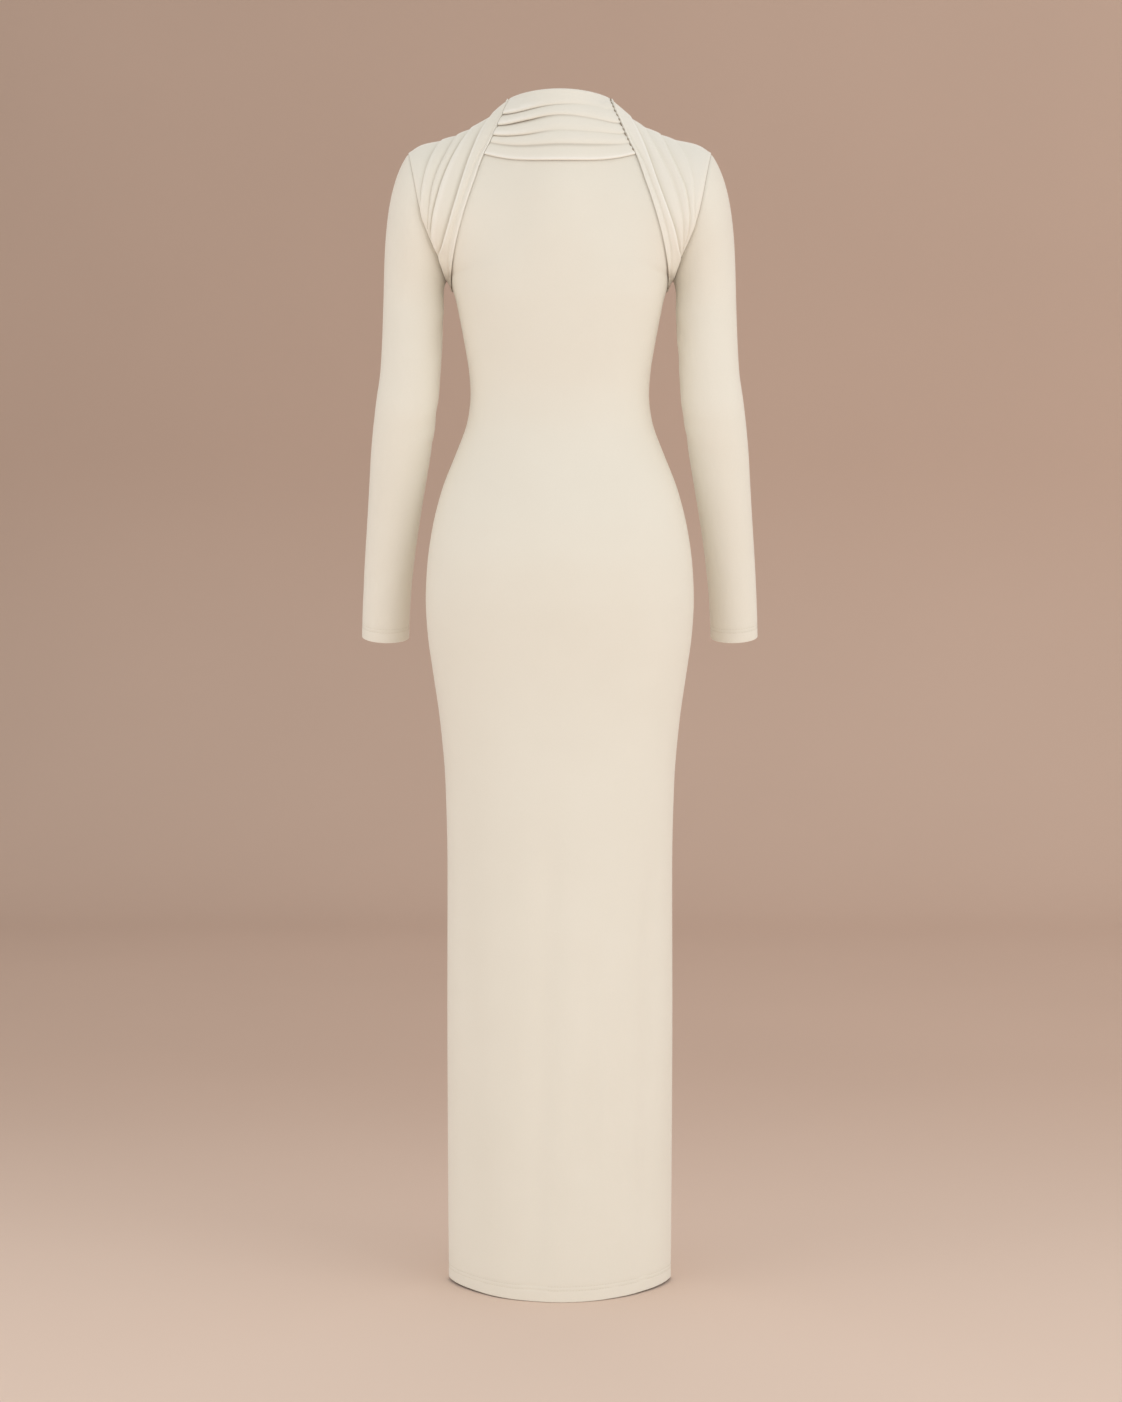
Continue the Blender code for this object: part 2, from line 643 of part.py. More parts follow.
def neck_drape(name, back, material):
    """The band of soft cross folds over the nape, between the edges of the two shoulder drapes."""
    edge = drape_inner_edge(BACK)

    def edge_across(up):
        index = max(i for i in range(len(edge) - 1) if edge[i][0] <= up)
        (up_a, a), (up_b, b) = edge[index], edge[index + 1]
        inset = NECK_DRAPE_SIDE_GAP / skin_at(back, 1.0, up)[0].x
        return mix(a, b, (up - up_a) / (up_b - up_a)) - inset

    corner_up = first_place(lambda up: patch_point(BACK, edge_across(up), up).z < NECK_DRAPE_LOW_SIDE, low=0.5)

    columns = []
    for j in range(NECK_DRAPE_COLUMNS + 1):
        share = mix(-1.0, 1.0, j / NECK_DRAPE_COLUMNS)
        edges = [smooth_value(NECK_ENDS, fold[:3], share) for fold in NECK_FOLDS]
        heights = [smooth_value(NECK_ENDS, fold[3:], share) for fold in NECK_FOLDS]
        profiles = [FOLDED_EDGE_PROFILE] + [PLEAT_PROFILE] * (len(edges) - 1)
        places, lifts = band_columns(edges[:-1], heights, profiles)
        low_height = mix(NECK_DRAPE_LOW_CENTRE, NECK_DRAPE_LOW_SIDE, share**2)
        low = up_at(BACK, abs(share) * edge_across(corner_up), low_height)
        column_points = []
        for place, lift in zip(places, lifts):
            across = edge_across(mix(1.0, corner_up, place)) * share
            point, normal = skin_at(back, across, mix(1.0, low, place))
            rise = Vector((0, 0, NECK_DRAPE_RISE if place == 0 else 0))
            low_point = point + normal * NECK_DRAPE_CLEARANCE + rise
            column_points.append((low_point, low_point + normal * (CLOTH + lift)))
        columns.append(column_points)
    rows = range(len(columns[0]))
    inner = [[line[i][0] for line in columns] for i in rows]
    outer = [[line[i][1] for line in columns] for i in rows]
    return wall(name, outer, inner, material, on_top=True)


def main():
    clear_scene()
    collection = bpy.data.collections.new("knit_maxi_dress")
    bpy.context.scene.collection.children.link(collection)
    knit = knit_material("ivory_knit")
    back = body_panel("back_panel", BACK, BACK_FOLDS, knit)
    front = body_panel("front_panel", FRONT, FRONT_FOLDS, knit)
    sleeve("sleeve_left", LEFT, back, front, knit)
    sleeve("sleeve_right", RIGHT, back, front, knit)
    shoulder_drape("shoulder_drape_left", LEFT, back, front, LEFT_PLEATS, knit)
    shoulder_drape("shoulder_drape_right", RIGHT, back, front, RIGHT_PLEATS, knit)
    neck_drape("neck_drape", back, knit)


if __name__ == "__main__":
    main()
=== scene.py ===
"""The looks of a knit maxi dress, filled out as if worn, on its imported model.

The dress is shown from behind, with its back towards -Y. Every piece of cloth is a thin shell on
the form of its own solid. A place on the body is named by its face, by across, from -1 at the left
side to 1 at the right, and above the chest line by up, from 0 there to 1 at the neck and shoulders.
"""

import math
from bisect import bisect_right
from collections import namedtuple

import bmesh
import bpy
from mathutils import Matrix, Vector
from mathutils.bvhtree import BVHTree


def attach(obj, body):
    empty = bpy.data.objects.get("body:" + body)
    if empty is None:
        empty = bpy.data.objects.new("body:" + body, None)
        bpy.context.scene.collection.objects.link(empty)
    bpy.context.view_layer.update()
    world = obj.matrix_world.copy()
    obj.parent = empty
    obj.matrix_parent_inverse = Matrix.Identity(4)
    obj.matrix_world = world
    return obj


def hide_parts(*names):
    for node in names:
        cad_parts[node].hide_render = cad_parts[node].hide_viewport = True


bl_info = {
    "name": "Knit maxi dress",
    "version": (1, 0, 0),
    "blender": (4, 5, 0),
    "location": "View3D > Sidebar > Dress",
    "description": "Makes the cloth, the stitching and the studio of a draped knit maxi dress",
    "category": "Object",
}

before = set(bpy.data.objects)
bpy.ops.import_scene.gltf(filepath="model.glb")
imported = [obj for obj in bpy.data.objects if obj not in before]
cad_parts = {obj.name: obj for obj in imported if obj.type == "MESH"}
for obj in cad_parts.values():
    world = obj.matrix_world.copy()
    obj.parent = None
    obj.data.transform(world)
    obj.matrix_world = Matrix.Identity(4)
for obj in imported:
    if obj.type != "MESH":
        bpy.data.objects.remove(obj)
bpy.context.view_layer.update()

BACK = -1
FRONT = 1
LEFT = -1
RIGHT = 1


def table(kind, *rows):
    """Rows of numbers as tuples with named columns."""
    return tuple(kind(*row) for row in rows)


# The form of the body. All heights, widths and depths are in metres.

CLOTH = 0.0014
DRAPE_CLOTH = 0.0009
SEAM_GAP = 0.0003
HEM_DIP = 0.0035
HEM_DIP_REACH = 0.03
CHEST_LINE = -0.200
CHEST_EASE = 1.4
UNDERARM_EASE = 5.0
UNDERARM_REACH = 0.6
SIDE_EASE = 2.2
NECK_SHARE = 5 / 12
UNDERARM_SHARE = 2 / 14

NECK_SMOOTHING = 0.40
NECK_SMOOTHING_EASE = 0.6
SMOOTHING_WEIGHTS = (1, 3, 5, 6, 5, 3, 1)
SMOOTHING_MIDDLE = 3
NECK_HALF_WIDTH = 0.062
NECK_SIDE_HEIGHT = 0.0475
NeckCurve = namedtuple("NeckCurve", "depth height roundness fall")
NECKLINES = {
    BACK: NeckCurve(depth=0.061, height=0.0505, roundness=1.5, fall=2.3),
    FRONT: NeckCurve(depth=0.070, height=-0.020, roundness=1.05, fall=1.6),
}

Section = namedtuple("Section", "height half_width back front roundness")
SECTIONS = table(
    Section,
    (-1.424, 0.1405, 0.1150, 0.1060, 1.38),
    (-1.300, 0.1412, 0.1130, 0.1050, 1.36),
    (-1.100, 0.1418, 0.1100, 0.1030, 1.30),
    (-0.900, 0.1412, 0.1070, 0.1010, 1.25),
    (-0.800, 0.1434, 0.1065, 0.1000, 1.18),
    (-0.720, 0.1500, 0.1085, 0.1000, 1.12),
    (-0.660, 0.1585, 0.1130, 0.1010, 1.06),
    (-0.610, 0.1653, 0.1195, 0.1030, 1.00),
    (-0.570, 0.1675, 0.1245, 0.1050, 0.98),
    (-0.530, 0.1658, 0.1260, 0.1055, 0.96),
    (-0.480, 0.1590, 0.1195, 0.1030, 0.95),
    (-0.430, 0.1462, 0.1060, 0.0990, 0.95),
    (-0.385, 0.1284, 0.0930, 0.0950, 0.94),
    (-0.345, 0.1143, 0.0850, 0.0945, 0.93),
    (-0.315, 0.1109, 0.0845, 0.0985, 0.92),
    (-0.290, 0.1124, 0.0880, 0.1050, 0.89),
    (-0.250, 0.1188, 0.0960, 0.1160, 0.83),
    (-0.200, 0.1284, 0.1045, 0.1190, 0.73),
)

CentrePoint = namedtuple("CentrePoint", "height depth")
CENTRE_LINES = {
    BACK: table(
        CentrePoint,
        (-0.200, 0.1045),
        (-0.160, 0.1090),
        (-0.120, 0.1115),
        (-0.080, 0.1090),
        (-0.045, 0.1010),
        (-0.015, 0.0900),
        (0.015, 0.0770),
        (0.035, 0.0670),
        (0.0505, 0.0610),
    ),
    FRONT: table(
        CentrePoint,
        (-0.200, 0.1190),
        (-0.165, 0.1130),
        (-0.130, 0.1030),
        (-0.095, 0.0925),
        (-0.060, 0.0820),
        (-0.020, 0.0700),
    ),
}

ArmholePoint = namedtuple("ArmholePoint", "half_width back front height")
ARMHOLE = table(
    ArmholePoint,
    (0.1375, 0.0000, 0.0000, -0.1720),
    (0.1400, 0.0200, 0.0185, -0.1655),
    (0.1470, 0.0390, 0.0355, -0.1490),
    (0.1565, 0.0550, 0.0500, -0.1300),
    (0.1655, 0.0645, 0.0575, -0.1085),
    (0.1720, 0.0670, 0.0580, -0.0845),
    (0.1770, 0.0610, 0.0515, -0.0595),
    (0.1820, 0.0455, 0.0385, -0.0365),
    (0.1855, 0.0240, 0.0200, -0.0225),
    (0.1870, 0.0000, 0.0000, -0.0185),
)

SeamPoint = namedtuple("SeamPoint", "half_width height")
SHOULDER_SEAM = table(
    SeamPoint,
    (0.0620, 0.0475),
    (0.0770, 0.0295),
    (0.0940, 0.0178),
    (0.1140, 0.0078),
    (0.1340, 0.0000),
    (0.1540, -0.0062),
    (0.1720, -0.0118),
    (0.1870, -0.0185),
)

FOLD_START = 0.25
FOLD_END = 0.125
SkirtFold = namedtuple("SkirtFold", "x_top x_bottom top bottom depth half_width")
FOLDS = {
    BACK: table(
        SkirtFold,
        (-0.008, -0.034, -0.76, -1.50, 0.0042, 0.017),
        (0.038, 0.030, -0.95, -1.30, 0.0022, 0.014),
        (0.118, 0.100, -0.80, -1.50, 0.0034, 0.013),
        (-0.118, -0.108, -0.68, -1.50, 0.0034, 0.018),
        (0.072, 0.066, -1.08, -1.50, 0.0020, 0.014),
        (-0.072, -0.078, -1.15, -1.50, -0.0016, 0.016),
    ),
    FRONT: table(
        SkirtFold,
        (0.020, 0.036, -0.78, -1.50, 0.0036, 0.018),
        (-0.050, -0.046, -0.92, -1.45, 0.0024, 0.015),
        (0.108, 0.098, -0.74, -1.50, 0.0030, 0.016),
        (-0.112, -0.104, -0.82, -1.50, 0.0032, 0.015),
    ),
}

ArmSection = namedtuple("ArmSection", "height centre_x centre_y half_width half_depth")
ARM = table(
    ArmSection,
    (-0.6175, 0.2213, 0.0570, 0.0300, 0.0317),
    (-0.600, 0.2206, 0.0530, 0.0300, 0.0318),
    (-0.565, 0.2185, 0.0450, 0.0302, 0.0324),
    (-0.520, 0.2145, 0.0350, 0.0312, 0.0335),
    (-0.475, 0.2094, 0.0250, 0.0327, 0.0350),
    (-0.430, 0.2038, 0.0150, 0.0349, 0.0370),
    (-0.390, 0.1988, 0.0070, 0.0371, 0.0385),
    (-0.355, 0.1938, 0.0005, 0.0384, 0.0405),
    (-0.327, 0.1899, -0.0030, 0.0387, 0.0415),
    (-0.290, 0.1859, -0.0030, 0.0374, 0.0415),
    (-0.252, 0.1834, -0.0015, 0.0376, 0.0425),
    (-0.215, 0.1817, 0.0000, 0.0380, 0.0430),
)
SleeveCrease = namedtuple("SleeveCrease", "height turn slope depth half_height spread")
SLEEVE_CREASES = {
    LEFT: table(
        SleeveCrease,
        (-0.352, 2.55, 0.016, 0.0022, 0.0085, 0.75),
        (-0.378, 2.85, 0.010, 0.0017, 0.0070, 0.55),
        (-0.334, 3.30, -0.012, 0.0014, 0.0080, 0.60),
        (-0.410, 2.35, 0.022, 0.0010, 0.0100, 0.50),
        (-0.232, 2.90, 0.030, 0.0018, 0.0110, 0.55),
        (-0.262, 2.60, 0.036, 0.0011, 0.0120, 0.50),
        (-0.548, 0.90, 0.012, 0.0008, 0.0110, 0.70),
    ),
    RIGHT: table(
        SleeveCrease,
        (-0.346, 2.70, 0.012, 0.0019, 0.0080, 0.65),
        (-0.371, 2.95, 0.018, 0.0021, 0.0085, 0.70),
        (-0.398, 2.60, 0.020, 0.0012, 0.0090, 0.45),
        (-0.238, 2.75, 0.034, 0.0015, 0.0120, 0.50),
        (-0.270, 3.05, 0.026, 0.0012, 0.0110, 0.60),
        (-0.520, 1.20, -0.010, 0.0008, 0.0120, 0.60),
    ),
}
RUN_STEP = 0.004
CAP_RINGS = 20
CAP_CROWDING = 1.15
SLEEVE_LEAVE = 0.56
SLEEVE_CAP_LEAVE = 0.03
SLEEVE_CAP_REACH = 0.86
SLEEVE_COLUMNS = 48

EdgePoint = namedtuple("EdgePoint", "height half_width")
DRAPE_EDGE = table(
    EdgePoint,
    (-0.1850, 0.1330),
    (-0.1740, 0.1325),
    (-0.1580, 0.1305),
    (-0.1380, 0.1270),
    (-0.1160, 0.1217),
    (-0.0860, 0.1128),
    (-0.0580, 0.1033),
    (-0.0290, 0.0934),
    (-0.0110, 0.0843),
    (0.0120, 0.0737),
    (0.0278, 0.0670),
    (0.0350, 0.0644),
    (0.0401, 0.0628),
    (0.0475, 0.0620),
)

# The fold edges of the shoulder pleats, from the inner one out. softness is 0 for a crisp fold.

Pleat = namedtuple("Pleat", "height softness rows")
LEFT_PLEATS = (
    Pleat(0.0034, 0.05, table(
        EdgePoint,
        (-0.150, 0.1480), (-0.136, 0.1420), (-0.118, 0.1363),
        (-0.085, 0.1262), (-0.053, 0.1166), (-0.024, 0.1070),
        (0.004, 0.0950), (0.027, 0.0800),
    )),
    Pleat(0.0032, 0.15, table(
        EdgePoint,
        (-0.135, 0.1545), (-0.120, 0.1555), (-0.104, 0.1541),
        (-0.085, 0.1502), (-0.061, 0.1433), (-0.038, 0.1345),
        (-0.014, 0.1222), (0.010, 0.1070),
    )),
    Pleat(0.0024, 0.55, table(
        EdgePoint,
        (-0.120, 0.1600), (-0.104, 0.1591), (-0.076, 0.1565),
        (-0.052, 0.1510), (-0.023, 0.1385), (0.004, 0.1250),
    )),
    Pleat(0.0028, 0.25, table(
        EdgePoint,
        (-0.115, 0.1660), (-0.095, 0.1688), (-0.076, 0.1680),
        (-0.052, 0.1645), (-0.028, 0.1570), (-0.003, 0.1430),
    )),
)
RIGHT_PLEATS = (
    Pleat(0.0032, 0.05, table(
        EdgePoint,
        (-0.150, 0.1470), (-0.141, 0.1440), (-0.120, 0.1395),
        (-0.094, 0.1303), (-0.057, 0.1168), (-0.015, 0.1025),
        (0.023, 0.0850),
    )),
    Pleat(0.0016, 0.90, table(
        EdgePoint,
        (-0.110, 0.1500), (-0.070, 0.1410), (-0.044, 0.1310),
        (-0.015, 0.1172), (0.010, 0.1040),
    )),
    Pleat(0.0022, 0.40, table(
        EdgePoint,
        (-0.133, 0.1520), (-0.117, 0.1560), (-0.100, 0.1570),
        (-0.070, 0.1530), (-0.047, 0.1445), (-0.017, 0.1314),
        (0.003, 0.1230),
    )),
    Pleat(0.0013, 0.85, table(
        EdgePoint,
        (-0.110, 0.1640), (-0.061, 0.1630), (-0.035, 0.1580),
        (-0.004, 0.1411),
    )),
)
PLEAT_STATIONS = 60
PLEAT_REST = 0.0013
UNDERARM_REST = 0.0010
UNDERARM_SETTLE = 0.10
UNDERARM_POINT = 0.985
PLEAT_SPACING = 0.032
LEAST_PLEAT = 0.004
STEEPEST_PLEAT = 0.30
WIDEST_DRAPE_END = 0.93
NEAREST_DRAPE_EDGE = 0.35
NECK_CORNER = 0.03
ARMHOLE_INSET = 0.0001

# One band of cloth between two fold edges: its share across, its lift and how far it leans out.

ProfilePoint = namedtuple("ProfilePoint", "share lift lean")
CRISP_BAND = table(
    ProfilePoint,
    (0.00, 0.02, 0.00),
    (0.06, 0.06, 0.00),
    (0.13, 0.22, 0.00),
    (0.25, 0.46, 0.00),
    (0.43, 0.68, 0.00),
    (0.64, 0.86, 0.00),
    (0.84, 0.98, 0.00),
    (0.95, 1.00, 0.06),
    (1.00, 0.86, 0.22),
    (1.00, 0.58, 0.26),
    (1.00, 0.26, 0.14),
)
SOFT_BAND = table(
    ProfilePoint,
    (0.00, 0.04, 0.00),
    (0.10, 0.22, 0.00),
    (0.22, 0.52, 0.00),
    (0.35, 0.82, 0.00),
    (0.48, 0.98, 0.00),
    (0.58, 1.00, 0.00),
    (0.67, 0.90, 0.00),
    (0.76, 0.68, 0.00),
    (0.84, 0.42, 0.00),
    (0.91, 0.20, 0.00),
    (0.96, 0.08, 0.00),
)
# Painted shade in folds: the fold depth that gets the full shade, how the shade grows with depth, and how it
# falls off up a band.
FULL_SHADE_DEPTH = 0.0036
SHADE_DEPTH_POWER = 1.4
SHADE_POWER = 2.2
# Painted light over the whole neck drape, and how much stronger its painted fold shade is drawn.
COLLAR_PAINTED_LIGHT = 0.20
COLLAR_SHADE = 1.6
OVERHANG = 0.20
# Where on a band's crest the painted highlight begins.
HIGHLIGHT_LIFT = 0.90
HIGHLIGHT_SHARE = 0.60
SHOULDER_LINE = 0.76
SHOULDER_FADE = 0.42
SHOULDER_BELLY = 0.0024
SHOULDER_LIFT = 0.0015
# Painted shade under the arm: how far up from the underarm it reaches, and how much it darkens the drapes.
UNDERARM_SHADE_REACH = 0.24
TUCK_SHADE = 0.32
COLLAR_EDGE_DEPTH = 0.0034
COLLAR_START = 0.70
COLLAR_REACH = 0.10
OVER_COLLAR = 1.45
EdgeRoll = namedtuple("EdgeRoll", "inset lift")
FOLDED_EDGE = table(
    EdgeRoll,
    (0.0004, -0.0004),
    (0.0000, 0.0004),
    (0.0002, 0.0012),
    (0.0010, 0.0019),
    (0.0026, 0.0021),
    (0.0042, 0.0016),
    (0.0060, 0.0011),
)

SeamRoll = namedtuple("SeamRoll", "inset share")
ARMHOLE_ROLL = table(
    SeamRoll,
    (0.0036, 1.00),
    (0.0022, 0.94),
    (0.0010, 0.80),
    (0.0000, 0.55),
)
SLEEVE_TUCK = 0.0010

# The folds of the neck drape: their places as seen, from the top edge, 0, to the low edge, 1.

NECK_ENDS = (-1.0, -0.5, 0.0, 0.5, 1.0)
NeckFold = namedtuple("NeckFold", "places heights softness")
NECK_FOLDS = (
    NeckFold(
        (0.260, 0.233, 0.203, 0.180, 0.190),
        (0.0032, 0.0028, 0.0014, 0.0008, 0.0007),
        (0.05, 0.1, 0.5, 0.9, 0.9),
    ),
    NeckFold(
        (0.465, 0.395, 0.354, 0.372, 0.434),
        (0.0034, 0.0029, 0.0016, 0.0013, 0.0016),
        (0.05, 0.15, 0.5, 0.7, 0.5),
    ),
    NeckFold(
        (0.646, 0.617, 0.585, 0.583, 0.626),
        (0.0035, 0.0024, 0.0010, 0.0010, 0.0013),
        (0.0, 0.2, 1.0, 0.8, 0.5),
    ),
    NeckFold(
        (0.788, 0.792, 0.778, 0.775, 0.808),
        (0.0014, 0.0016, 0.0015, 0.0014, 0.0010),
        (0.7, 0.7, 0.8, 0.8, 0.9),
    ),
)
NECK_LOW_BAND = 0.0012
NECK_DRAPE_LOW_SIDE = -0.0255
NECK_DRAPE_LOW_CENTRE = -0.0385
NECK_DRAPE_SIDE_GAP = 0.0004
NECK_DRAPE_REST = 0.0011
NECK_DRAPE_COLUMNS = 72
NECK_SAMPLES = 24
NECK_END_SHARE = 0.93
NECK_END_LIFT = 0.60
VIEW_SLOPE = 0.148

HALVINGS = 15


def hermite(start, end, leave, arrive, t):
    """A place on the smooth curve that sets off from start along leave and comes in to end along arrive."""
    return (
        (2 * t**3 - 3 * t**2 + 1) * start
        + (t**3 - 2 * t**2 + t) * leave
        + (3 * t**2 - 2 * t**3) * end
        + (t**3 - t**2) * arrive
    )


def mix(a, b, share):
    return a + (b - a) * share


def ease(share):
    share = min(max(share, 0.0), 1.0)
    return share * share * (3 - 2 * share)


class Curve:
    """A smooth curve through the given values, which never overshoots them."""

    def __init__(self, places, values):
        self.places, self.values = list(places), list(values)
        steps = [b - a for a, b in zip(self.places, self.places[1:])]
        slopes = [(b - a) / step for a, b, step in zip(self.values, self.values[1:], steps)]
        inner = []
        for i in range(1, len(steps)):
            if slopes[i - 1] * slopes[i] <= 0:
                inner.append(0.0)
                continue
            before = 2 * steps[i] + steps[i - 1]
            after = steps[i] + 2 * steps[i - 1]
            inner.append((before + after) / (before / slopes[i - 1] + after / slopes[i]))
        self.steps = steps
        self.tangents = [slopes[0], *inner, slopes[-1]]

    def __call__(self, place):
        if place <= self.places[0]:
            return self.values[0]
        if place >= self.places[-1]:
            return self.values[-1]
        i = bisect_right(self.places, place) - 1
        step = self.steps[i]
        leave, arrive = step * self.tangents[i], step * self.tangents[i + 1]
        return hermite(self.values[i], self.values[i + 1], leave, arrive, (place - self.places[i]) / step)


def curves(rows, key):
    """A named tuple's other columns as curves over its key column."""
    places = [getattr(row, key) for row in rows]
    names = [name for name in rows[0]._fields if name != key]
    return {name: Curve(places, [getattr(row, name) for row in rows]) for name in names}


def even_curves(rows):
    """All columns of a table as curves from 0 at its first row to 1 at its last."""
    places = [i / (len(rows) - 1) for i in range(len(rows))]
    return {name: Curve(places, [getattr(row, name) for row in rows]) for name in rows[0]._fields}


BODY = curves(SECTIONS, "height")
CENTRE = {face: curves(rows, "height")["depth"] for face, rows in CENTRE_LINES.items()}
ARMHOLE_EDGE = even_curves(ARMHOLE)
SHOULDER = even_curves(SHOULDER_SEAM)
ARM_FORM = curves(ARM, "height")
FACE_NAMES = {BACK: "back", FRONT: "front"}


def section_point(face, across, height):
    """A point of the loft below the chest line, on the right half of one face."""
    angle = across * math.pi / 2
    fullness = max(math.cos(angle), 0.0) ** BODY["roundness"](height)
    depth = BODY[FACE_NAMES[face]](height)
    low = SECTIONS[0].height
    dip = HEM_DIP * fullness * ease((low + HEM_DIP_REACH - height) / HEM_DIP_REACH)
    return Vector((BODY["half_width"](height) * math.sin(angle), face * depth * fullness, height - dip))


def side_edge(face, up):
    """The side seam above the chest line, then the armhole up to the shoulder's end."""
    underarm = ARMHOLE[0]
    if up <= UNDERARM_SHARE:
        start = section_point(face, 1.0, CHEST_LINE)
        end = Vector((underarm.half_width, 0.0, underarm.height))
        return start.lerp(end, up / UNDERARM_SHARE)
    share = (up - UNDERARM_SHARE) / (1 - UNDERARM_SHARE)
    depth = ARMHOLE_EDGE[FACE_NAMES[face]](share)
    return Vector((ARMHOLE_EDGE["half_width"](share), face * depth, ARMHOLE_EDGE["height"](share)))


def top_edge(face, across):
    """The neckline from the centre to the neck's side, then the shoulder seam."""
    if across <= NECK_SHARE:
        angle = across / NECK_SHARE * math.pi / 2
        neck = NECKLINES[face]
        middle = max(math.cos(angle), 0.0)
        height = mix(NECK_SIDE_HEIGHT, neck.height, middle**neck.fall)
        return Vector((NECK_HALF_WIDTH * math.sin(angle), face * neck.depth * middle**neck.roundness, height))
    share = (across - NECK_SHARE) / (1 - NECK_SHARE)
    return Vector((SHOULDER["half_width"](share), 0.0, SHOULDER["height"](share)))


def soft_top_edge(face, across, up):
    """The top edge as the cloth below takes it up: the further down, the smoother its corner at the neck."""
    reach = min(NECK_SMOOTHING * (1 - up) ** NECK_SMOOTHING_EASE, across, 1 - across)
    total = Vector()
    for i, weight in enumerate(SMOOTHING_WEIGHTS):
        total += weight * top_edge(face, across + reach * (i / SMOOTHING_MIDDLE - 1))
    return total / sum(SMOOTHING_WEIGHTS)


def centre_edge(face, up):
    height = mix(CHEST_LINE, NECKLINES[face].height, up)
    return Vector((0.0, face * CENTRE[face](height), height))


def patch_point(face, across, up):
    """A point above the chest line, on the right half of one face."""
    low, high = section_point(face, across, CHEST_LINE), soft_top_edge(face, across, up)
    low_centre, low_side = section_point(face, 0.0, CHEST_LINE), section_point(face, 1.0, CHEST_LINE)
    high_centre, high_side = top_edge(face, 0.0), top_edge(face, 1.0)
    centre, side = centre_edge(face, up), side_edge(face, up)
    lift = up**CHEST_EASE
    spread = across ** mix(UNDERARM_EASE, SIDE_EASE, ease(up / UNDERARM_REACH))
    away = side - (1 - lift) * low_side - lift * high_side
    level = centre - (1 - lift) * low_centre - lift * high_centre
    point = (1 - lift) * low + lift * high
    point.x += mix(level.x, away.x, across)
    point.y += mix(level.y, away.y, spread)
    side_rise = (side.z - CHEST_LINE) / (high_side.z - CHEST_LINE)
    rise = mix(up, side_rise, ease(across / NECK_SHARE))
    point.z = mix(CHEST_LINE, high.z, rise)
    return point


def form_point(face, across, up):
    """A point above the chest line, on either half of one face."""
    point = patch_point(face, min(abs(across), 1.0), up)
    if across < 0:
        point.x = -point.x
    return point


TINY = 0.002


def form_at(face, across, up):
    """Above the chest line: the point, the way out of the cloth and the metres for each unit of across."""
    point = form_point(face, across, up)
    left, right = max(across - TINY, -1.0), min(across + TINY, 1.0)
    low, high = max(up - TINY, 0.0), min(up + TINY, 1.0)
    wide = form_point(face, right, up) - form_point(face, left, up)
    tall = form_point(face, across, high) - form_point(face, across, low)
    normal = wide.cross(tall).normalized() * -face
    return point, normal, wide.length / (right - left)


def fold_depth(folds, x, height):
    """How far the skirt's soft folds draw the cloth in at a place."""
    depth = 0.0
    for fold in folds:
        share = (fold.top - height) / (fold.top - fold.bottom)
        if share <= 0:
            continue
        middle = mix(fold.x_top, fold.x_bottom, share)
        reach = ease(share / FOLD_START) * ease((1 - share) / FOLD_END)
        depth += fold.depth * reach * math.exp(-(((x - middle) / fold.half_width) ** 2))
    return depth


def first_place(falls_short, low=0.0, high=1.0):
    """The place between low and high up to which a question is answered yes."""
    for _ in range(HALVINGS):
        middle = (low + high) / 2
        if falls_short(middle):
            low = middle
        else:
            high = middle
    return (low + high) / 2


def across_at(face, up, line):
    """How far across the patch a curve of half-widths over heights lies, at one place up it."""

    def falls_short(across):
        point = patch_point(face, across, up)
        return point.x < line(point.z)

    return first_place(falls_short)


def up_at(face, across, height):
    """How far up the patch a height lies, at one place across it."""
    return first_place(lambda up: patch_point(face, across, up).z < height)


EDGE_LINE = curves(DRAPE_EDGE, "height")["half_width"]


def edge_across(face, up):
    """Where a shoulder drape's inner edge lies, at one place up. It ends in a point under the arm."""
    widest = mix(UNDERARM_POINT, WIDEST_DRAPE_END, ease(up / UNDERARM_SHARE))
    nearest = mix(NECK_SHARE, NEAREST_DRAPE_EDGE, ease((1 - up) / NECK_CORNER))
    return min(max(across_at(face, up, EDGE_LINE), nearest), widest)


# The rows of a hem or cuff above its edge, with two rows of stitches.

STITCH_LINES = (0.0130, 0.0172)
STITCH_GROOVE = 0.0004
SEWN_EDGE = (0.0, 0.0012, 0.0040, 0.0085, 0.0117, 0.0130, 0.0143, 0.0159, 0.0172, 0.0185, 0.0240)
HEM_FOLD_SHARE = 0.35
HEM_FOLD_REACH = 0.14

# Cloth made from a grid of points.


def new_object(name, data):
    item = bpy.data.objects.new(name, data)
    bpy.context.scene.collection.objects.link(item)
    return item


def lengths_along(points):
    """The running length from the first of some points to each of them."""
    total, lengths = 0.0, [0.0]
    for a, b in zip(points, points[1:]):
        total += (b - a).length
        lengths.append(total)
    return lengths


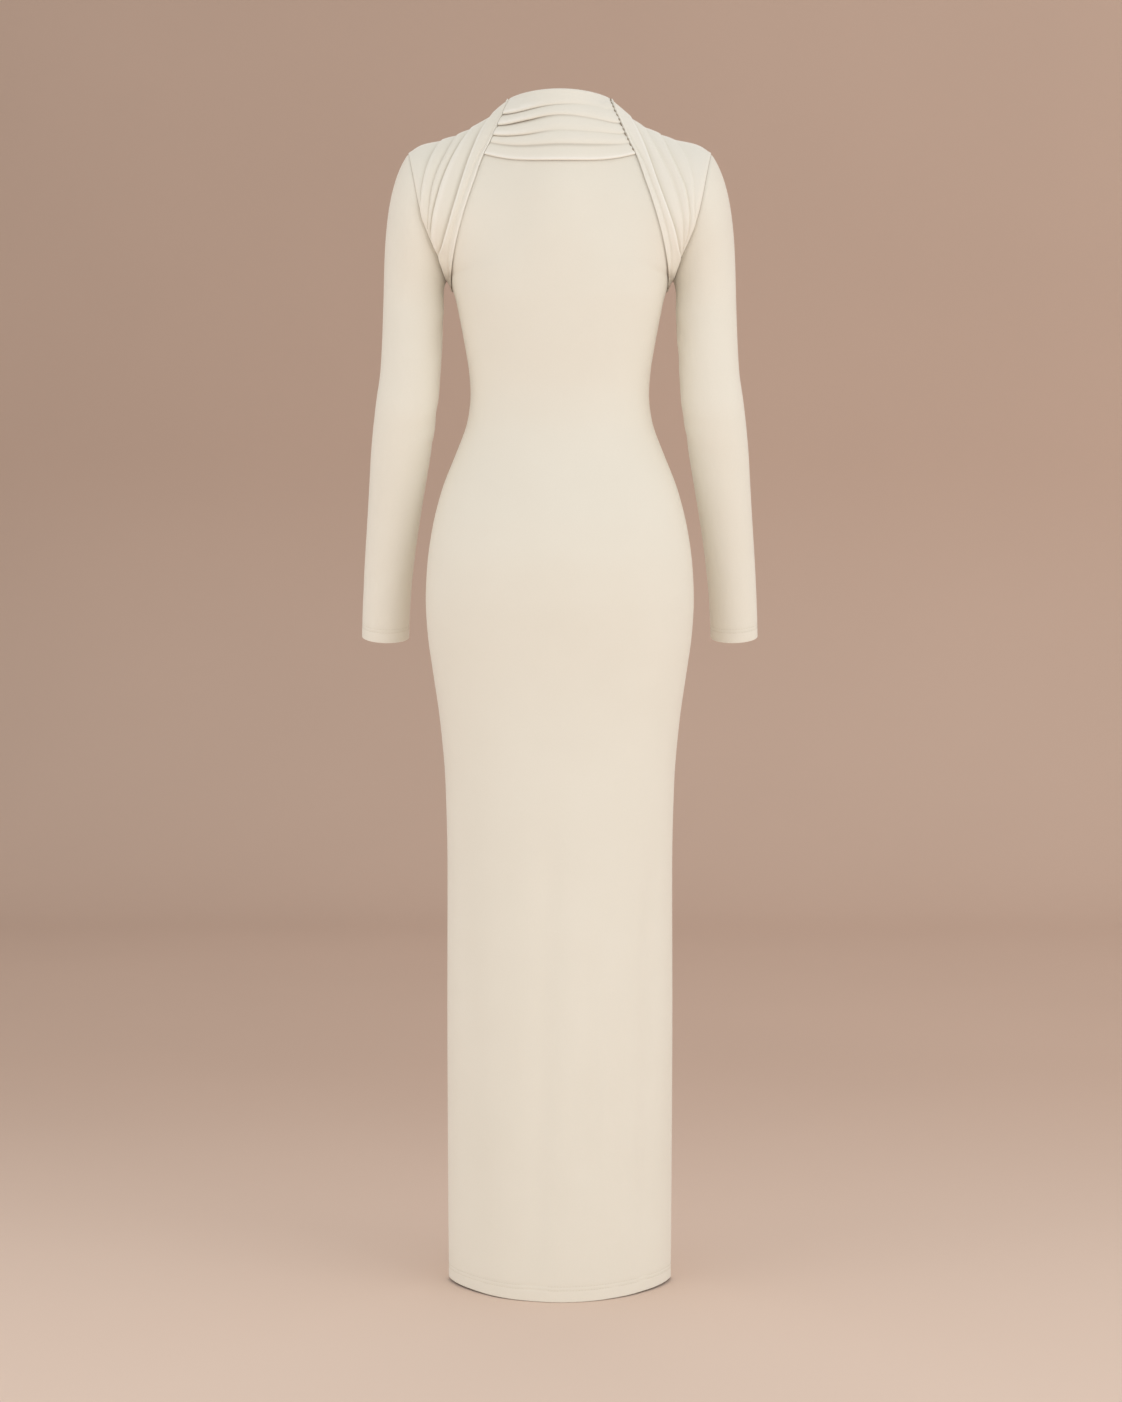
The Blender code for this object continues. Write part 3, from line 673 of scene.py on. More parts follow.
def cloth_mesh(name, points, ring=False, hollows=None):
    """A sheet of faces through a grid of points, with a UV map that measures the cloth in metres.

    hollows gives the shade painted on each point, up to 1 deep in a fold, and down to -1 for a painted
    highlight on a crest.
    """
    rows, columns = len(points), len(points[0])
    grid = bmesh.new()
    bmesh.ops.create_grid(grid, x_segments=columns - 1, y_segments=rows - 1, size=1.0)
    along = lengths_along([line[columns // 2] for line in points])
    across = []
    for line in points:
        lengths = lengths_along(line)
        middle = lengths[columns // 2]
        across.append([length - middle for length in lengths])
    layer = grid.loops.layers.uv.new("cloth")
    # Each point carries its painted shade; a negative amount is a painted highlight.
    hollow = grid.verts.layers.float.new("hollow")
    places = {}
    for vertex in grid.verts:
        i = round((vertex.co.y + 1) / 2 * (rows - 1))
        j = round((vertex.co.x + 1) / 2 * (columns - 1))
        places[vertex] = (i, j)
    for face in grid.faces:
        for loop in face.loops:
            i, j = places[loop.vert]
            loop[layer].uv = (across[i][j], along[i])
    for vertex, (i, j) in places.items():
        vertex.co = points[i][j]
        vertex[hollow] = hollows[i][j] if hollows else 0.0
    if ring:
        bmesh.ops.remove_doubles(grid, verts=grid.verts, dist=1e-6)
    mesh = bpy.data.meshes.new(name)
    grid.to_mesh(mesh)
    grid.free()
    return mesh


def cloth_piece(name, mesh, thickness):
    """An object with its cloth's thickness laid inwards and its edges rounded."""
    item = new_object(name, mesh)
    mesh.materials.append(the_knit())
    mesh.shade_smooth()
    solid = item.modifiers.new("cloth", "SOLIDIFY")
    solid.thickness = thickness
    solid.offset = -1.0
    smooth = item.modifiers.new("smooth", "SUBSURF")
    smooth.levels = 1
    smooth.render_levels = 1
    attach(item, "root")
    return item


# Materials.


class Value:
    """A shader socket that plain Python sums add nodes to."""

    def __init__(self, tree, socket):
        self.tree, self.socket = tree, socket

    def math(self, operation, *others):
        node = self.tree.nodes.new("ShaderNodeMath")
        node.operation = operation
        for socket, value in zip(node.inputs, (self, *others)):
            if isinstance(value, Value):
                self.tree.links.new(value.socket, socket)
            else:
                socket.default_value = value
        return Value(self.tree, node.outputs[0])

    def __add__(self, other):
        return self.math("ADD", other)

    def __mul__(self, other):
        return self.math("MULTIPLY", other)

    def __sub__(self, other):
        return self.math("SUBTRACT", other)


class Shading:
    """A material's node tree, with one way to add any node."""

    def __init__(self, name):
        self.material = bpy.data.materials.new(name)
        self.material.use_nodes = True
        self.tree = self.material.node_tree
        self.shader = self.tree.nodes["Principled BSDF"]

    def node(self, kind, settings=None, sockets=None, output=0):
        item = self.tree.nodes.new(kind)
        for name, value in (settings or {}).items():
            setattr(item, name, value)
        for name, value in (sockets or {}).items():
            if isinstance(value, Value):
                self.tree.links.new(value.socket, item.inputs[name])
            else:
                item.inputs[name].default_value = value
        return Value(self.tree, item.outputs[output])

    def blend(self, first, second, share):
        """A colour between two others, each a link or three numbers."""
        sockets = {0: share}
        for index, colour in ((6, first), (7, second)):
            sockets[index] = colour if isinstance(colour, Value) else (*colour, 1.0)
        return self.node("ShaderNodeMix", {"data_type": "RGBA"}, sockets, 2)

    def feed(self, name, value):
        if isinstance(value, Value):
            self.tree.links.new(value.socket, self.shader.inputs[name])
        else:
            self.shader.inputs[name].default_value = value


def knit_material(settings):
    """Ivory double jersey: fine upright wales, a soft mottle and a matte bloom, with painted shade in the
    folds and painted highlights on the crests.
    """
    shading = Shading("ivory_knit_cloth")
    cloth = shading.node("ShaderNodeUVMap", {"uv_map": "cloth"})
    u = shading.node("ShaderNodeSeparateXYZ", None, {"Vector": cloth}, "X")
    v = shading.node("ShaderNodeSeparateXYZ", None, {"Vector": cloth}, "Y")
    place = shading.node("ShaderNodeTexCoord", None, None, "Object")
    wale = (u * (math.pi / settings.wale_width)).math("SINE").math("ABSOLUTE")
    slant = (u * (1 / settings.wale_width)).math("FRACT").math("SUBTRACT", 0.5).math("ABSOLUTE")
    stitch = ((v * (1 / settings.course_height) + slant) * (2 * math.pi)).math("SINE")
    fibre = shading.node("ShaderNodeTexNoise", None, {"Vector": place, "Scale": 620.0, "Detail": 3.0}, "Fac")
    mottle = shading.node("ShaderNodeTexNoise", None, {"Vector": place, "Scale": 11.0, "Detail": 4.0}, "Fac")
    height = wale * 0.55 + stitch * 0.30 + fibre * 0.8
    bump = shading.node(
        "ShaderNodeBump",
        None,
        {"Strength": settings.knit_relief, "Distance": 0.0002, "Height": height},
        "Normal",
    )
    tone = (mottle - 0.5) * 0.5 + (fibre - 0.5) * 0.35 + (wale - 0.64) * 0.12 + 0.5
    plain = shading.blend(settings.shade_colour, settings.light_colour, tone)
    # Painted highlight and painted shade: the base colour turns lighter on crests and darker deep in folds,
    # following each point's painted shade.
    hollow = shading.node("ShaderNodeAttribute", {"attribute_name": "hollow"}, None, "Fac")
    plain = shading.blend(plain, settings.painted_highlight_colour, hollow * -settings.painted_highlight_strength)
    shading.feed("Base Color", shading.blend(plain, settings.painted_fold_shade_colour, hollow * settings.painted_fold_shade_strength))
    shading.feed("Roughness", (mottle - 0.5) * 0.12 + (fibre - 0.5) * 0.10 + settings.roughness)
    shading.feed("Normal", bump)
    shading.feed("Specular IOR Level", 0.35)
    shading.feed("Sheen Weight", 0.40)
    shading.feed("Sheen Roughness", 0.45)
    shading.feed("Sheen Tint", (1.0, 0.97, 0.92, 1.0))
    return shading.material


class DressSettings(bpy.types.PropertyGroup):
    light_colour: bpy.props.FloatVectorProperty(
        name="Light ivory", description="The knit's lighter tone", subtype="COLOR", size=3,
        default=(0.86, 0.835, 0.75), min=0.0, max=1.0,
    )
    shade_colour: bpy.props.FloatVectorProperty(
        name="Deep ivory", description="The knit's deeper tone", subtype="COLOR", size=3,
        default=(0.79, 0.755, 0.66), min=0.0, max=1.0,
    )
    # The painted shade deep in folds: its colour and how strongly it is drawn.
    painted_fold_shade_colour: bpy.props.FloatVectorProperty(
        name="Painted fold shade", description="Colour painted as shade deep in a fold", subtype="COLOR", size=3,
        default=(0.18, 0.105, 0.052), min=0.0, max=1.0,
    )
    painted_fold_shade_strength: bpy.props.FloatProperty(
        name="Painted shade strength", description="How far the tone deepens in a fold", default=0.85, min=0.0, max=1.0
    )
    # The painted highlight on crests: its colour and how strongly it is drawn.
    painted_highlight_colour: bpy.props.FloatVectorProperty(
        name="Painted highlight", description="Colour painted as a highlight on a fold's crest", subtype="COLOR", size=3,
        default=(0.93, 0.91, 0.85), min=0.0, max=1.0,
    )
    painted_highlight_strength: bpy.props.FloatProperty(
        name="Painted highlight strength", description="How far the tone lightens on a crest", default=0.9, min=0.0, max=1.0
    )
    roughness: bpy.props.FloatProperty(
        name="Roughness", description="How matte the knit is", subtype="FACTOR",
        default=0.66, min=0.0, max=1.0,
    )
    wale_width: bpy.props.FloatProperty(
        name="Wale width", description="Width of one upright line of stitches", default=0.0010, unit="LENGTH"
    )
    course_height: bpy.props.FloatProperty(
        name="Course height", description="Height of one row of stitches", default=0.0008, unit="LENGTH"
    )
    knit_relief: bpy.props.FloatProperty(
        name="Knit relief", description="Strength of the stitches' relief", default=0.30, min=0.0, max=1.0
    )
    thread_colour: bpy.props.FloatVectorProperty(
        name="Thread", description="The sewing thread's deeper tone", subtype="COLOR", size=3,
        default=(0.62, 0.54, 0.43), min=0.0, max=1.0,
    )
    dark_dash_colour: bpy.props.FloatVectorProperty(
        name="Dark dashes", description="The dark dashes at the neck drape's end", subtype="COLOR", size=3,
        default=(0.10, 0.06, 0.035), min=0.0, max=1.0,
    )
    pleat_scale: bpy.props.FloatProperty(
        name="Pleat scale", description="Height of the pleats against their own sizes",
        default=1.15, min=0.0, max=2.0,
    )
    seam_depth: bpy.props.FloatProperty(
        name="Seam depth", description="How far the cloth is drawn in at a seam",
        default=0.0006, unit="LENGTH",
    )


class StageSettings(bpy.types.PropertyGroup):
    colour: bpy.props.FloatVectorProperty(
        name="Backdrop", description="Colour of the backdrop", subtype="COLOR", size=3,
        default=(0.60, 0.447, 0.361), min=0.0, max=1.0,
    )
    # Painted light: the floor nearer the camera is drawn in this colour, lighter than the backdrop.
    lit_floor_colour: bpy.props.FloatVectorProperty(
        name="Floor", description="Colour painted on the floor in front, as the light it catches", subtype="COLOR", size=3,
        default=(0.79, 0.636, 0.537), min=0.0, max=1.0,
    )
    key_power: bpy.props.FloatProperty(
        name="Key light", description="Power of the large soft light", default=30.0, subtype="POWER"
    )
    fill_power: bpy.props.FloatProperty(
        name="Fill light", description="Power of the soft light on the other side",
        default=16.5, subtype="POWER",
    )
    side_power: bpy.props.FloatProperty(
        name="Side lights", description="Power of each light beside the dress", default=7.0, subtype="POWER"
    )
    low_power: bpy.props.FloatProperty(
        name="Low light", description="Power of the soft light from behind the camera",
        default=7.0, subtype="POWER",
    )
    far_power: bpy.props.FloatProperty(
        name="Far light", description="Power of the high light on the dress's front",
        default=16.0, subtype="POWER",
    )
    sky: bpy.props.FloatProperty(
        name="Room light", description="Strength of the light from all round", default=0.74, min=0.0
    )


def the_knit():
    return bpy.data.materials.get("ivory_knit_cloth") or knit_material(bpy.context.scene.dress_settings)


class DRESS_OT_body(bpy.types.Operator):
    """Make the back and front panels of the body"""

    bl_idname = "dress.body"
    bl_label = "Body panels"

    ROW_STEP = 0.012
    PATCH_ROWS = 44
    LAST_ROWS = (0.992, 1.0)
    HALF = 26
    EDGE_SHARES = (0.99, 1.0)

    def shares(self):
        half = [j / self.HALF for j in range(1, self.HALF)] + list(self.EDGE_SHARES)
        return [-share for share in reversed(half)] + [0.0] + half

    def panel(self, name, face):
        settings = bpy.context.scene.dress_settings
        shares = self.shares()
        low = SECTIONS[0].height
        heights = [low + rise for rise in SEWN_EDGE]
        count = round((CHEST_LINE - heights[-1]) / self.ROW_STEP)
        heights += [mix(heights[-1], CHEST_LINE, i / count) for i in range(1, count)]
        rows = []
        for height in heights:
            line = [section_point(face, abs(share), height) for share in shares]
            for point, share in zip(line, shares):
                point.x *= math.copysign(1, share)
            rows.append(line)
        ups = [i / self.PATCH_ROWS for i in range(self.PATCH_ROWS)] + list(self.LAST_ROWS)
        for up in ups:
            rows.append([form_point(face, share, up) for share in shares])
        normals = self.normals(rows, face)
        for i, line in enumerate(rows):
            for j, point in enumerate(line):
                inward = fold_depth(FOLDS[face], point.x, point.z)
                inward *= mix(HEM_FOLD_SHARE, 1.0, ease((point.z - SECTIONS[0].height) / HEM_FOLD_REACH))
                if j in (0, len(line) - 1):
                    inward += settings.seam_depth
                if i < len(SEWN_EDGE) and SEWN_EDGE[i] in STITCH_LINES:
                    inward += STITCH_GROOVE
                point -= normals[i][j] * inward
                if abs(shares[j]) == 1 and i < len(heights) + len(ups) * UNDERARM_SHARE:
                    point.y = face * max(face * point.y, SEAM_GAP / 2)
        mesh = cloth_mesh(name, rows)
        if face == FRONT:
            mesh.flip_normals()
        return cloth_piece(name, mesh, CLOTH)

    def normals(self, rows, face):
        """The direction out of the cloth at each point, level at the sides."""
        result = []
        last = len(rows) - 1
        for i, line in enumerate(rows):
            directions = []
            for j in range(len(line)):
                wide = line[min(j + 1, len(line) - 1)] - line[max(j - 1, 0)]
                tall = rows[min(i + 1, last)][j] - rows[max(i - 1, 0)][j]
                directions.append(wide.cross(tall).normalized() * -face)
            result.append(directions)
        return result

    def execute(self, context):
        back = self.panel("back_panel_cloth", BACK)
        front = self.panel("front_panel_cloth", FRONT)
        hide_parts("back_panel")
        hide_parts("front_panel")
        return {"FINISHED"}


def arm_centre(side, height):
    return Vector((side * ARM_FORM["centre_x"](height), ARM_FORM["centre_y"](height), height))


def arm_ring(side, height):
    """A ring of points round the arm, square to its run, and the run's direction."""
    centre = arm_centre(side, height)
    low, high = max(height - RUN_STEP, ARM[0].height), min(height + RUN_STEP, ARM[-1].height)
    run = (arm_centre(side, low) - arm_centre(side, high)).normalized()
    width_axis = (Vector((side, 0, 0)) - run * run.x * side).normalized()
    depth_axis = run.cross(width_axis).normalized()
    depth_axis = depth_axis if depth_axis.y > 0 else -depth_axis
    half_width, half_depth = ARM_FORM["half_width"](height), ARM_FORM["half_depth"](height)
    points = []
    for j in range(SLEEVE_COLUMNS):
        angle = 2 * math.pi * j / SLEEVE_COLUMNS
        wide, deep = half_width * math.cos(angle), half_depth * math.sin(angle)
        points.append(centre + width_axis * wide - depth_axis * deep)
    return points, run


def crease_depth(creases, angle, height):
    """How far the soft creases round an arm draw the sleeve in at a place."""
    depth = 0.0
    for crease in creases:
        turn = angle - crease.turn
        away = (height - crease.height - crease.slope * turn) / crease.half_height
        depth += crease.depth * math.exp(-(away**2) - (turn / crease.spread) ** 2)
    return depth


class DRESS_OT_sleeves(bpy.types.Operator):
    """Make the two long set-in sleeves"""

    bl_idname = "dress.sleeves"
    bl_label = "Sleeves"

    ARM_STEP = 0.008
    # Painted shade on the sleeve near the underarm: at its edge, in its seam roll, and how fast it fades down
    # the sleeve.
    TUCK_EDGE_SHADES = (0.5, 1.0)
    TUCK_ROLL_SHADES = (0.25, 2.0)
    UNDERARM_SHADE_FADE = 0.65

    def sleeve(self, name, side):
        half = SLEEVE_COLUMNS // 2
        ups = [mix(UNDERARM_SHARE, 1.0, i / half) for i in range(half + 1)]
        loop = [form_at(BACK, side, up)[:2] for up in reversed(ups)]
        loop += [form_at(FRONT, side, up)[:2] for up in ups[1:-1]]
        top = ARM[-1].height
        first, run = arm_ring(side, top)
        # How much painted shade each column gets, full at the underarm.
        underarm_shades = []
        for j in range(SLEEVE_COLUMNS):
            up = ups[half - j] if j <= half else ups[j - half]
            underarm_shades.append(1 - ease((up - UNDERARM_SHARE) / UNDERARM_SHADE_REACH))
        rings, hollows = [], []
        for i in range(CAP_RINGS):
            t = (i / CAP_RINGS) ** CAP_CROWDING
            ring = []
            for j, (edge, normal) in enumerate(loop):
                angle = 2 * math.pi * j / SLEEVE_COLUMNS
                level = SLEEVE_LEAVE + SLEEVE_CAP_LEAVE * math.cos(angle) ** 2
                leave = Vector((side * level, 0.0, -math.sqrt(1 - level**2)))
                start = edge + normal * (SEAM_GAP + CLOTH) + leave * SEAM_GAP
                reach = SLEEVE_CAP_REACH * (first[j] - start).length
                point = hermite(start, first[j], reach * leave, reach * run, t)
                ring.append(point)
            if i == 0:
                leave = Vector((side * SLEEVE_LEAVE, 0.0, -math.sqrt(1 - SLEEVE_LEAVE**2)))
                rings.append([
                    point - leave * SLEEVE_TUCK - normal * (SEAM_GAP + CLOTH)
                    for point, (_, normal) in zip(ring, loop)
                ])
                # Painted shade along the armhole seam, deepest at the underarm.
                hollows.append([mix(*self.TUCK_EDGE_SHADES, underarm_shade) for underarm_shade in underarm_shades])
                for roll in reversed(ARMHOLE_ROLL):
                    sunk = (SEAM_GAP + CLOTH) * (1 - roll.share)
                    hollows.append([mix(*self.TUCK_ROLL_SHADES, underarm_shade) * (1 - roll.share) for underarm_shade in underarm_shades])
                    rings.append([
                        point + leave * roll.inset - normal * sunk
                        for point, (_, normal) in zip(ring, loop)
                    ])
            else:
                rings.append(ring)
                hollows.append([underarm_shade * self.UNDERARM_SHADE_FADE**i for underarm_shade in underarm_shades])
        bottom = ARM[0].height
        cuff = [bottom + rise for rise in reversed(SEWN_EDGE)]
        count = round((top - cuff[0]) / self.ARM_STEP)
        heights = [mix(top, cuff[0], i / count) for i in range(count)] + cuff
        for height in heights:
            rings.append(arm_ring(side, height)[0])
        for rise, ring in zip(SEWN_EDGE, reversed(rings)):
            if rise in STITCH_LINES:
                centre = sum(ring, Vector()) / len(ring)
                for point in ring:
                    point -= (point - centre).normalized() * STITCH_GROOVE
        for ring in rings[len(ARMHOLE_ROLL) + 1:]:
            centre = sum(ring, Vector()) / len(ring)
            for j, point in enumerate(ring):
                angle = 2 * math.pi * j / SLEEVE_COLUMNS
                point -= (point - centre).normalized() * crease_depth(SLEEVE_CREASES[side], angle, point.z)
        for ring in rings:
            ring.append(ring[0].copy())
        hollows += [[0.0] * SLEEVE_COLUMNS] * (len(rings) - len(hollows))
        mesh = cloth_mesh(name, rings, ring=True, hollows=[row + row[:1] for row in hollows])
        if side == LEFT:
            mesh.flip_normals()
        return cloth_piece(name, mesh, CLOTH)

    def execute(self, context):
        for name, side in (("left", LEFT), ("right", RIGHT)):
            item = self.sleeve(f"sleeve_{name}_cloth", side)
            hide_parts(f"sleeve_{name}")
        return {"FINISHED"}


def painted_shade_shares(profile, before, height):
    """The shade painted at each point of a band, up to 1 deep under a fold, and down to -1 for a painted
    highlight on a fold's crest.
    """
    ridge = max(range(len(profile)), key=lambda i: profile[i].lift)
    shares = []
    for i, at in enumerate(profile):
        depth = before if i < ridge else height
        deep = min(max(depth / FULL_SHADE_DEPTH, 0.0), 1.0) ** SHADE_DEPTH_POWER
        # A painted highlight along the crest, where the band stands highest.
        crest = max(at.lift - HIGHLIGHT_LIFT, 0.0) / (1 - HIGHLIGHT_LIFT)
        crest *= ease((at.share - HIGHLIGHT_SHARE) / (1 - HIGHLIGHT_SHARE))
        shares.append((max(1 - at.lift, 0.0) ** SHADE_POWER - crest) * deep)
    return shares


def band_profile(softness):
    return [
        ProfilePoint(*(mix(a, b, softness) for a, b in zip(crisp, soft)))
        for crisp, soft in zip(CRISP_BAND, SOFT_BAND)
    ]


class DRESS_OT_shoulder_drapes(bpy.types.Operator):
    """Make the pleated drapes that go round each armhole"""

    bl_idname = "dress.shoulder_drapes"
    bl_label = "Shoulder drapes"

    # Painted light over each whole drape, the right one lighter, and how strongly each drape's painted fold
    # shade is drawn.
    BLOOM = {LEFT: 0.08, RIGHT: 0.34}
    PAINTED_FOLD_SHADE = {LEFT: 0.32, RIGHT: 0.70}
    # Painted shade (positive) and painted highlight (negative) along each drape's folded inner edge: a
    # highlight on the left edge, a shadow on the right.
    EDGE_SHADES = {
        LEFT: (0.0, -0.4, -0.8, -0.6, 0.0, 0.0, 0.0),
        RIGHT: (1.0, 0.8, 0.0, -0.4, 0.0, 0.0, 0.0),
    }
    # Painted shade at the armhole seam, away from the underarm and at it.
    SEAM_SHADES = (0.25, 2.2)
    LIFT_REACH = 0.35
    SEAM_ROOM = 0.012
    EDGE_ROOM = 0.009
    EDGE_ROWS = 2
    EDGE_FLAT = 0.001
    EDGE_SPREAD = 0.004
    LAST_BAND = 0.0004
    FRONT_SCALE = 0.9

    def station(self, face, side, up, lines, pleats, scale):
        """One line of points from a drape's inner edge to the armhole, with the shade and light painted on
        each.
        """
        inner = edge_across(face, up)
        outer = 1 - ARMHOLE_INSET / form_at(face, 1.0, up)[0].x
        metres = form_at(face, side * (inner + outer) / 2, up)[2]
        settled = ease((up - UNDERARM_SHARE / 2) / UNDERARM_SETTLE)
        shoulder = ease((up - SHOULDER_LINE) / (1 - SHOULDER_LINE))
        calm = mix(1.0, SHOULDER_FADE, shoulder)
        # How near the underarm, for the painted shade there.
        under = 1 - ease((up - UNDERARM_SHARE) / UNDERARM_SHADE_REACH)
        rest = mix(UNDERARM_REST, PLEAT_REST, settled)
        fold_shade_strength = mix(self.PAINTED_FOLD_SHADE[side], 1.0, under)
        over_collar = ease((up - COLLAR_START) / COLLAR_REACH)
        seam = min(1.0, (outer - inner) * metres / self.SEAM_ROOM)
        edges = [inner]
        spare = PLEAT_SPACING * (outer - inner)
        step = min(LEAST_PLEAT, (outer - inner) / (len(lines) + 2))
        for k, line in enumerate(lines):
            limit = outer - (len(lines) - k) * max(spare, step)
            place = min(across_at(face, up, line), limit)
            edges.append(max(place, edges[-1] + step))
        edges.append(outer)
        points, hollows = [], []

        def add(across, lift, hollow=0.0):
            # Painted shade at each drape's strength, with the drape's painted light, turning into painted
            # shade near the underarm.
            hollow *= 1 if hollow < 0 else fold_shade_strength
            hollows.append(mix(hollow - self.BLOOM[side], hollow + TUCK_SHADE, under))
            place = min(max(across, 0.0), outer)
            lift += SHOULDER_LIFT * shoulder * ease((place - inner) / (outer - inner) / self.LIFT_REACH)
            at, normal, _ = form_at(face, side * place, up)
            at = at + normal * lift
            if up >= 1:
                at.y = 0.0
            else:
                at.y = face * max(face * at.y, SEAM_GAP)
            points.append(at)

        bands = list(zip(edges, edges[1:]))
        before = 0.0
        for k, (start, end) in enumerate(bands):
            start += before * OVERHANG / metres
            width = (end - start) * metres
            last = k == len(bands) - 1
            height = mix(self.LAST_BAND, SHOULDER_BELLY, shoulder)
            if not last:
                height = pleats[k].height * scale * calm
            height = min(height, STEEPEST_PLEAT * width) * settled
            profile = band_profile(1.0 if last else pleats[k].softness)
            shades = painted_shade_shares(profile, before, height)
            before = height
            if k == 0:
                roll = min(width / self.EDGE_ROOM, 1.0)
                raised = mix(1.0, OVER_COLLAR, over_collar)
                for i, (edge, shade) in enumerate(zip(FOLDED_EDGE, self.EDGE_SHADES[side])):
                    # Painted shade and highlight along the folded edge, turning into painted shade near the
                    # underarm.
                    shade = mix(shade * (1 - over_collar), 1.0 if i < self.EDGE_ROWS else 0.0, under)
                    add(start + edge.inset * roll / metres, rest + edge.lift * roll * settled * raised, shade)
                flat = FOLDED_EDGE[-1]
                for at, shade in list(zip(profile, shades))[self.EDGE_ROWS:]:
                    lift = max(at.lift * height, flat.lift * roll * settled * raised * (1 - at.share))
                    place = mix(start, end, at.share) + at.lean * height / metres
                    clear = flat.inset + self.EDGE_FLAT + self.EDGE_SPREAD * at.share
                    add(max(place, start + clear * roll / metres), rest + lift, shade)
            elif last:
                fit = (end - start - ARMHOLE_ROLL[0].inset * seam / metres) / (end - start)
                for at, shade in zip(profile, shades):
                    add(mix(start, end, at.share * fit), rest + at.lift * height, shade)
            else:
                for at, shade in zip(profile, shades):
                    add(mix(start, end, at.share) + at.lean * height / metres, rest + at.lift * height, shade)
        for edge in ARMHOLE_ROLL:
            # Painted shade at the armhole seam.
            shade = (1 - edge.share) * mix(*self.SEAM_SHADES, under)
            add(outer - edge.inset * seam / metres, rest * edge.share, shade)
        return points, hollows

    def drape(self, name, side, pleats):
        scale = bpy.context.scene.dress_settings.pleat_scale
        lines = [curves(pleat.rows, "height")["half_width"] for pleat in pleats]
        low = UNDERARM_SHARE / 2
        ups = [mix(low, 1.0, i / PLEAT_STATIONS) for i in range(PLEAT_STATIONS + 1)]
        stations = [self.station(BACK, side, up, lines, pleats, scale) for up in ups]
        scale *= self.FRONT_SCALE
        stations += [self.station(FRONT, side, up, lines, pleats, scale) for up in reversed(ups[:-1])]
        rows, hollows = zip(*stations)
        mesh = cloth_mesh(name, rows, hollows=hollows)
        if side == LEFT:
            mesh.flip_normals()
        return cloth_piece(name, mesh, DRAPE_CLOTH)

    def execute(self, context):
        for name, side, pleats in (("left", LEFT, LEFT_PLEATS), ("right", RIGHT, RIGHT_PLEATS)):
            item = self.drape(f"shoulder_drape_{name}_cloth", side, pleats)
            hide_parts(f"shoulder_drape_{name}")
        return {"FINISHED"}


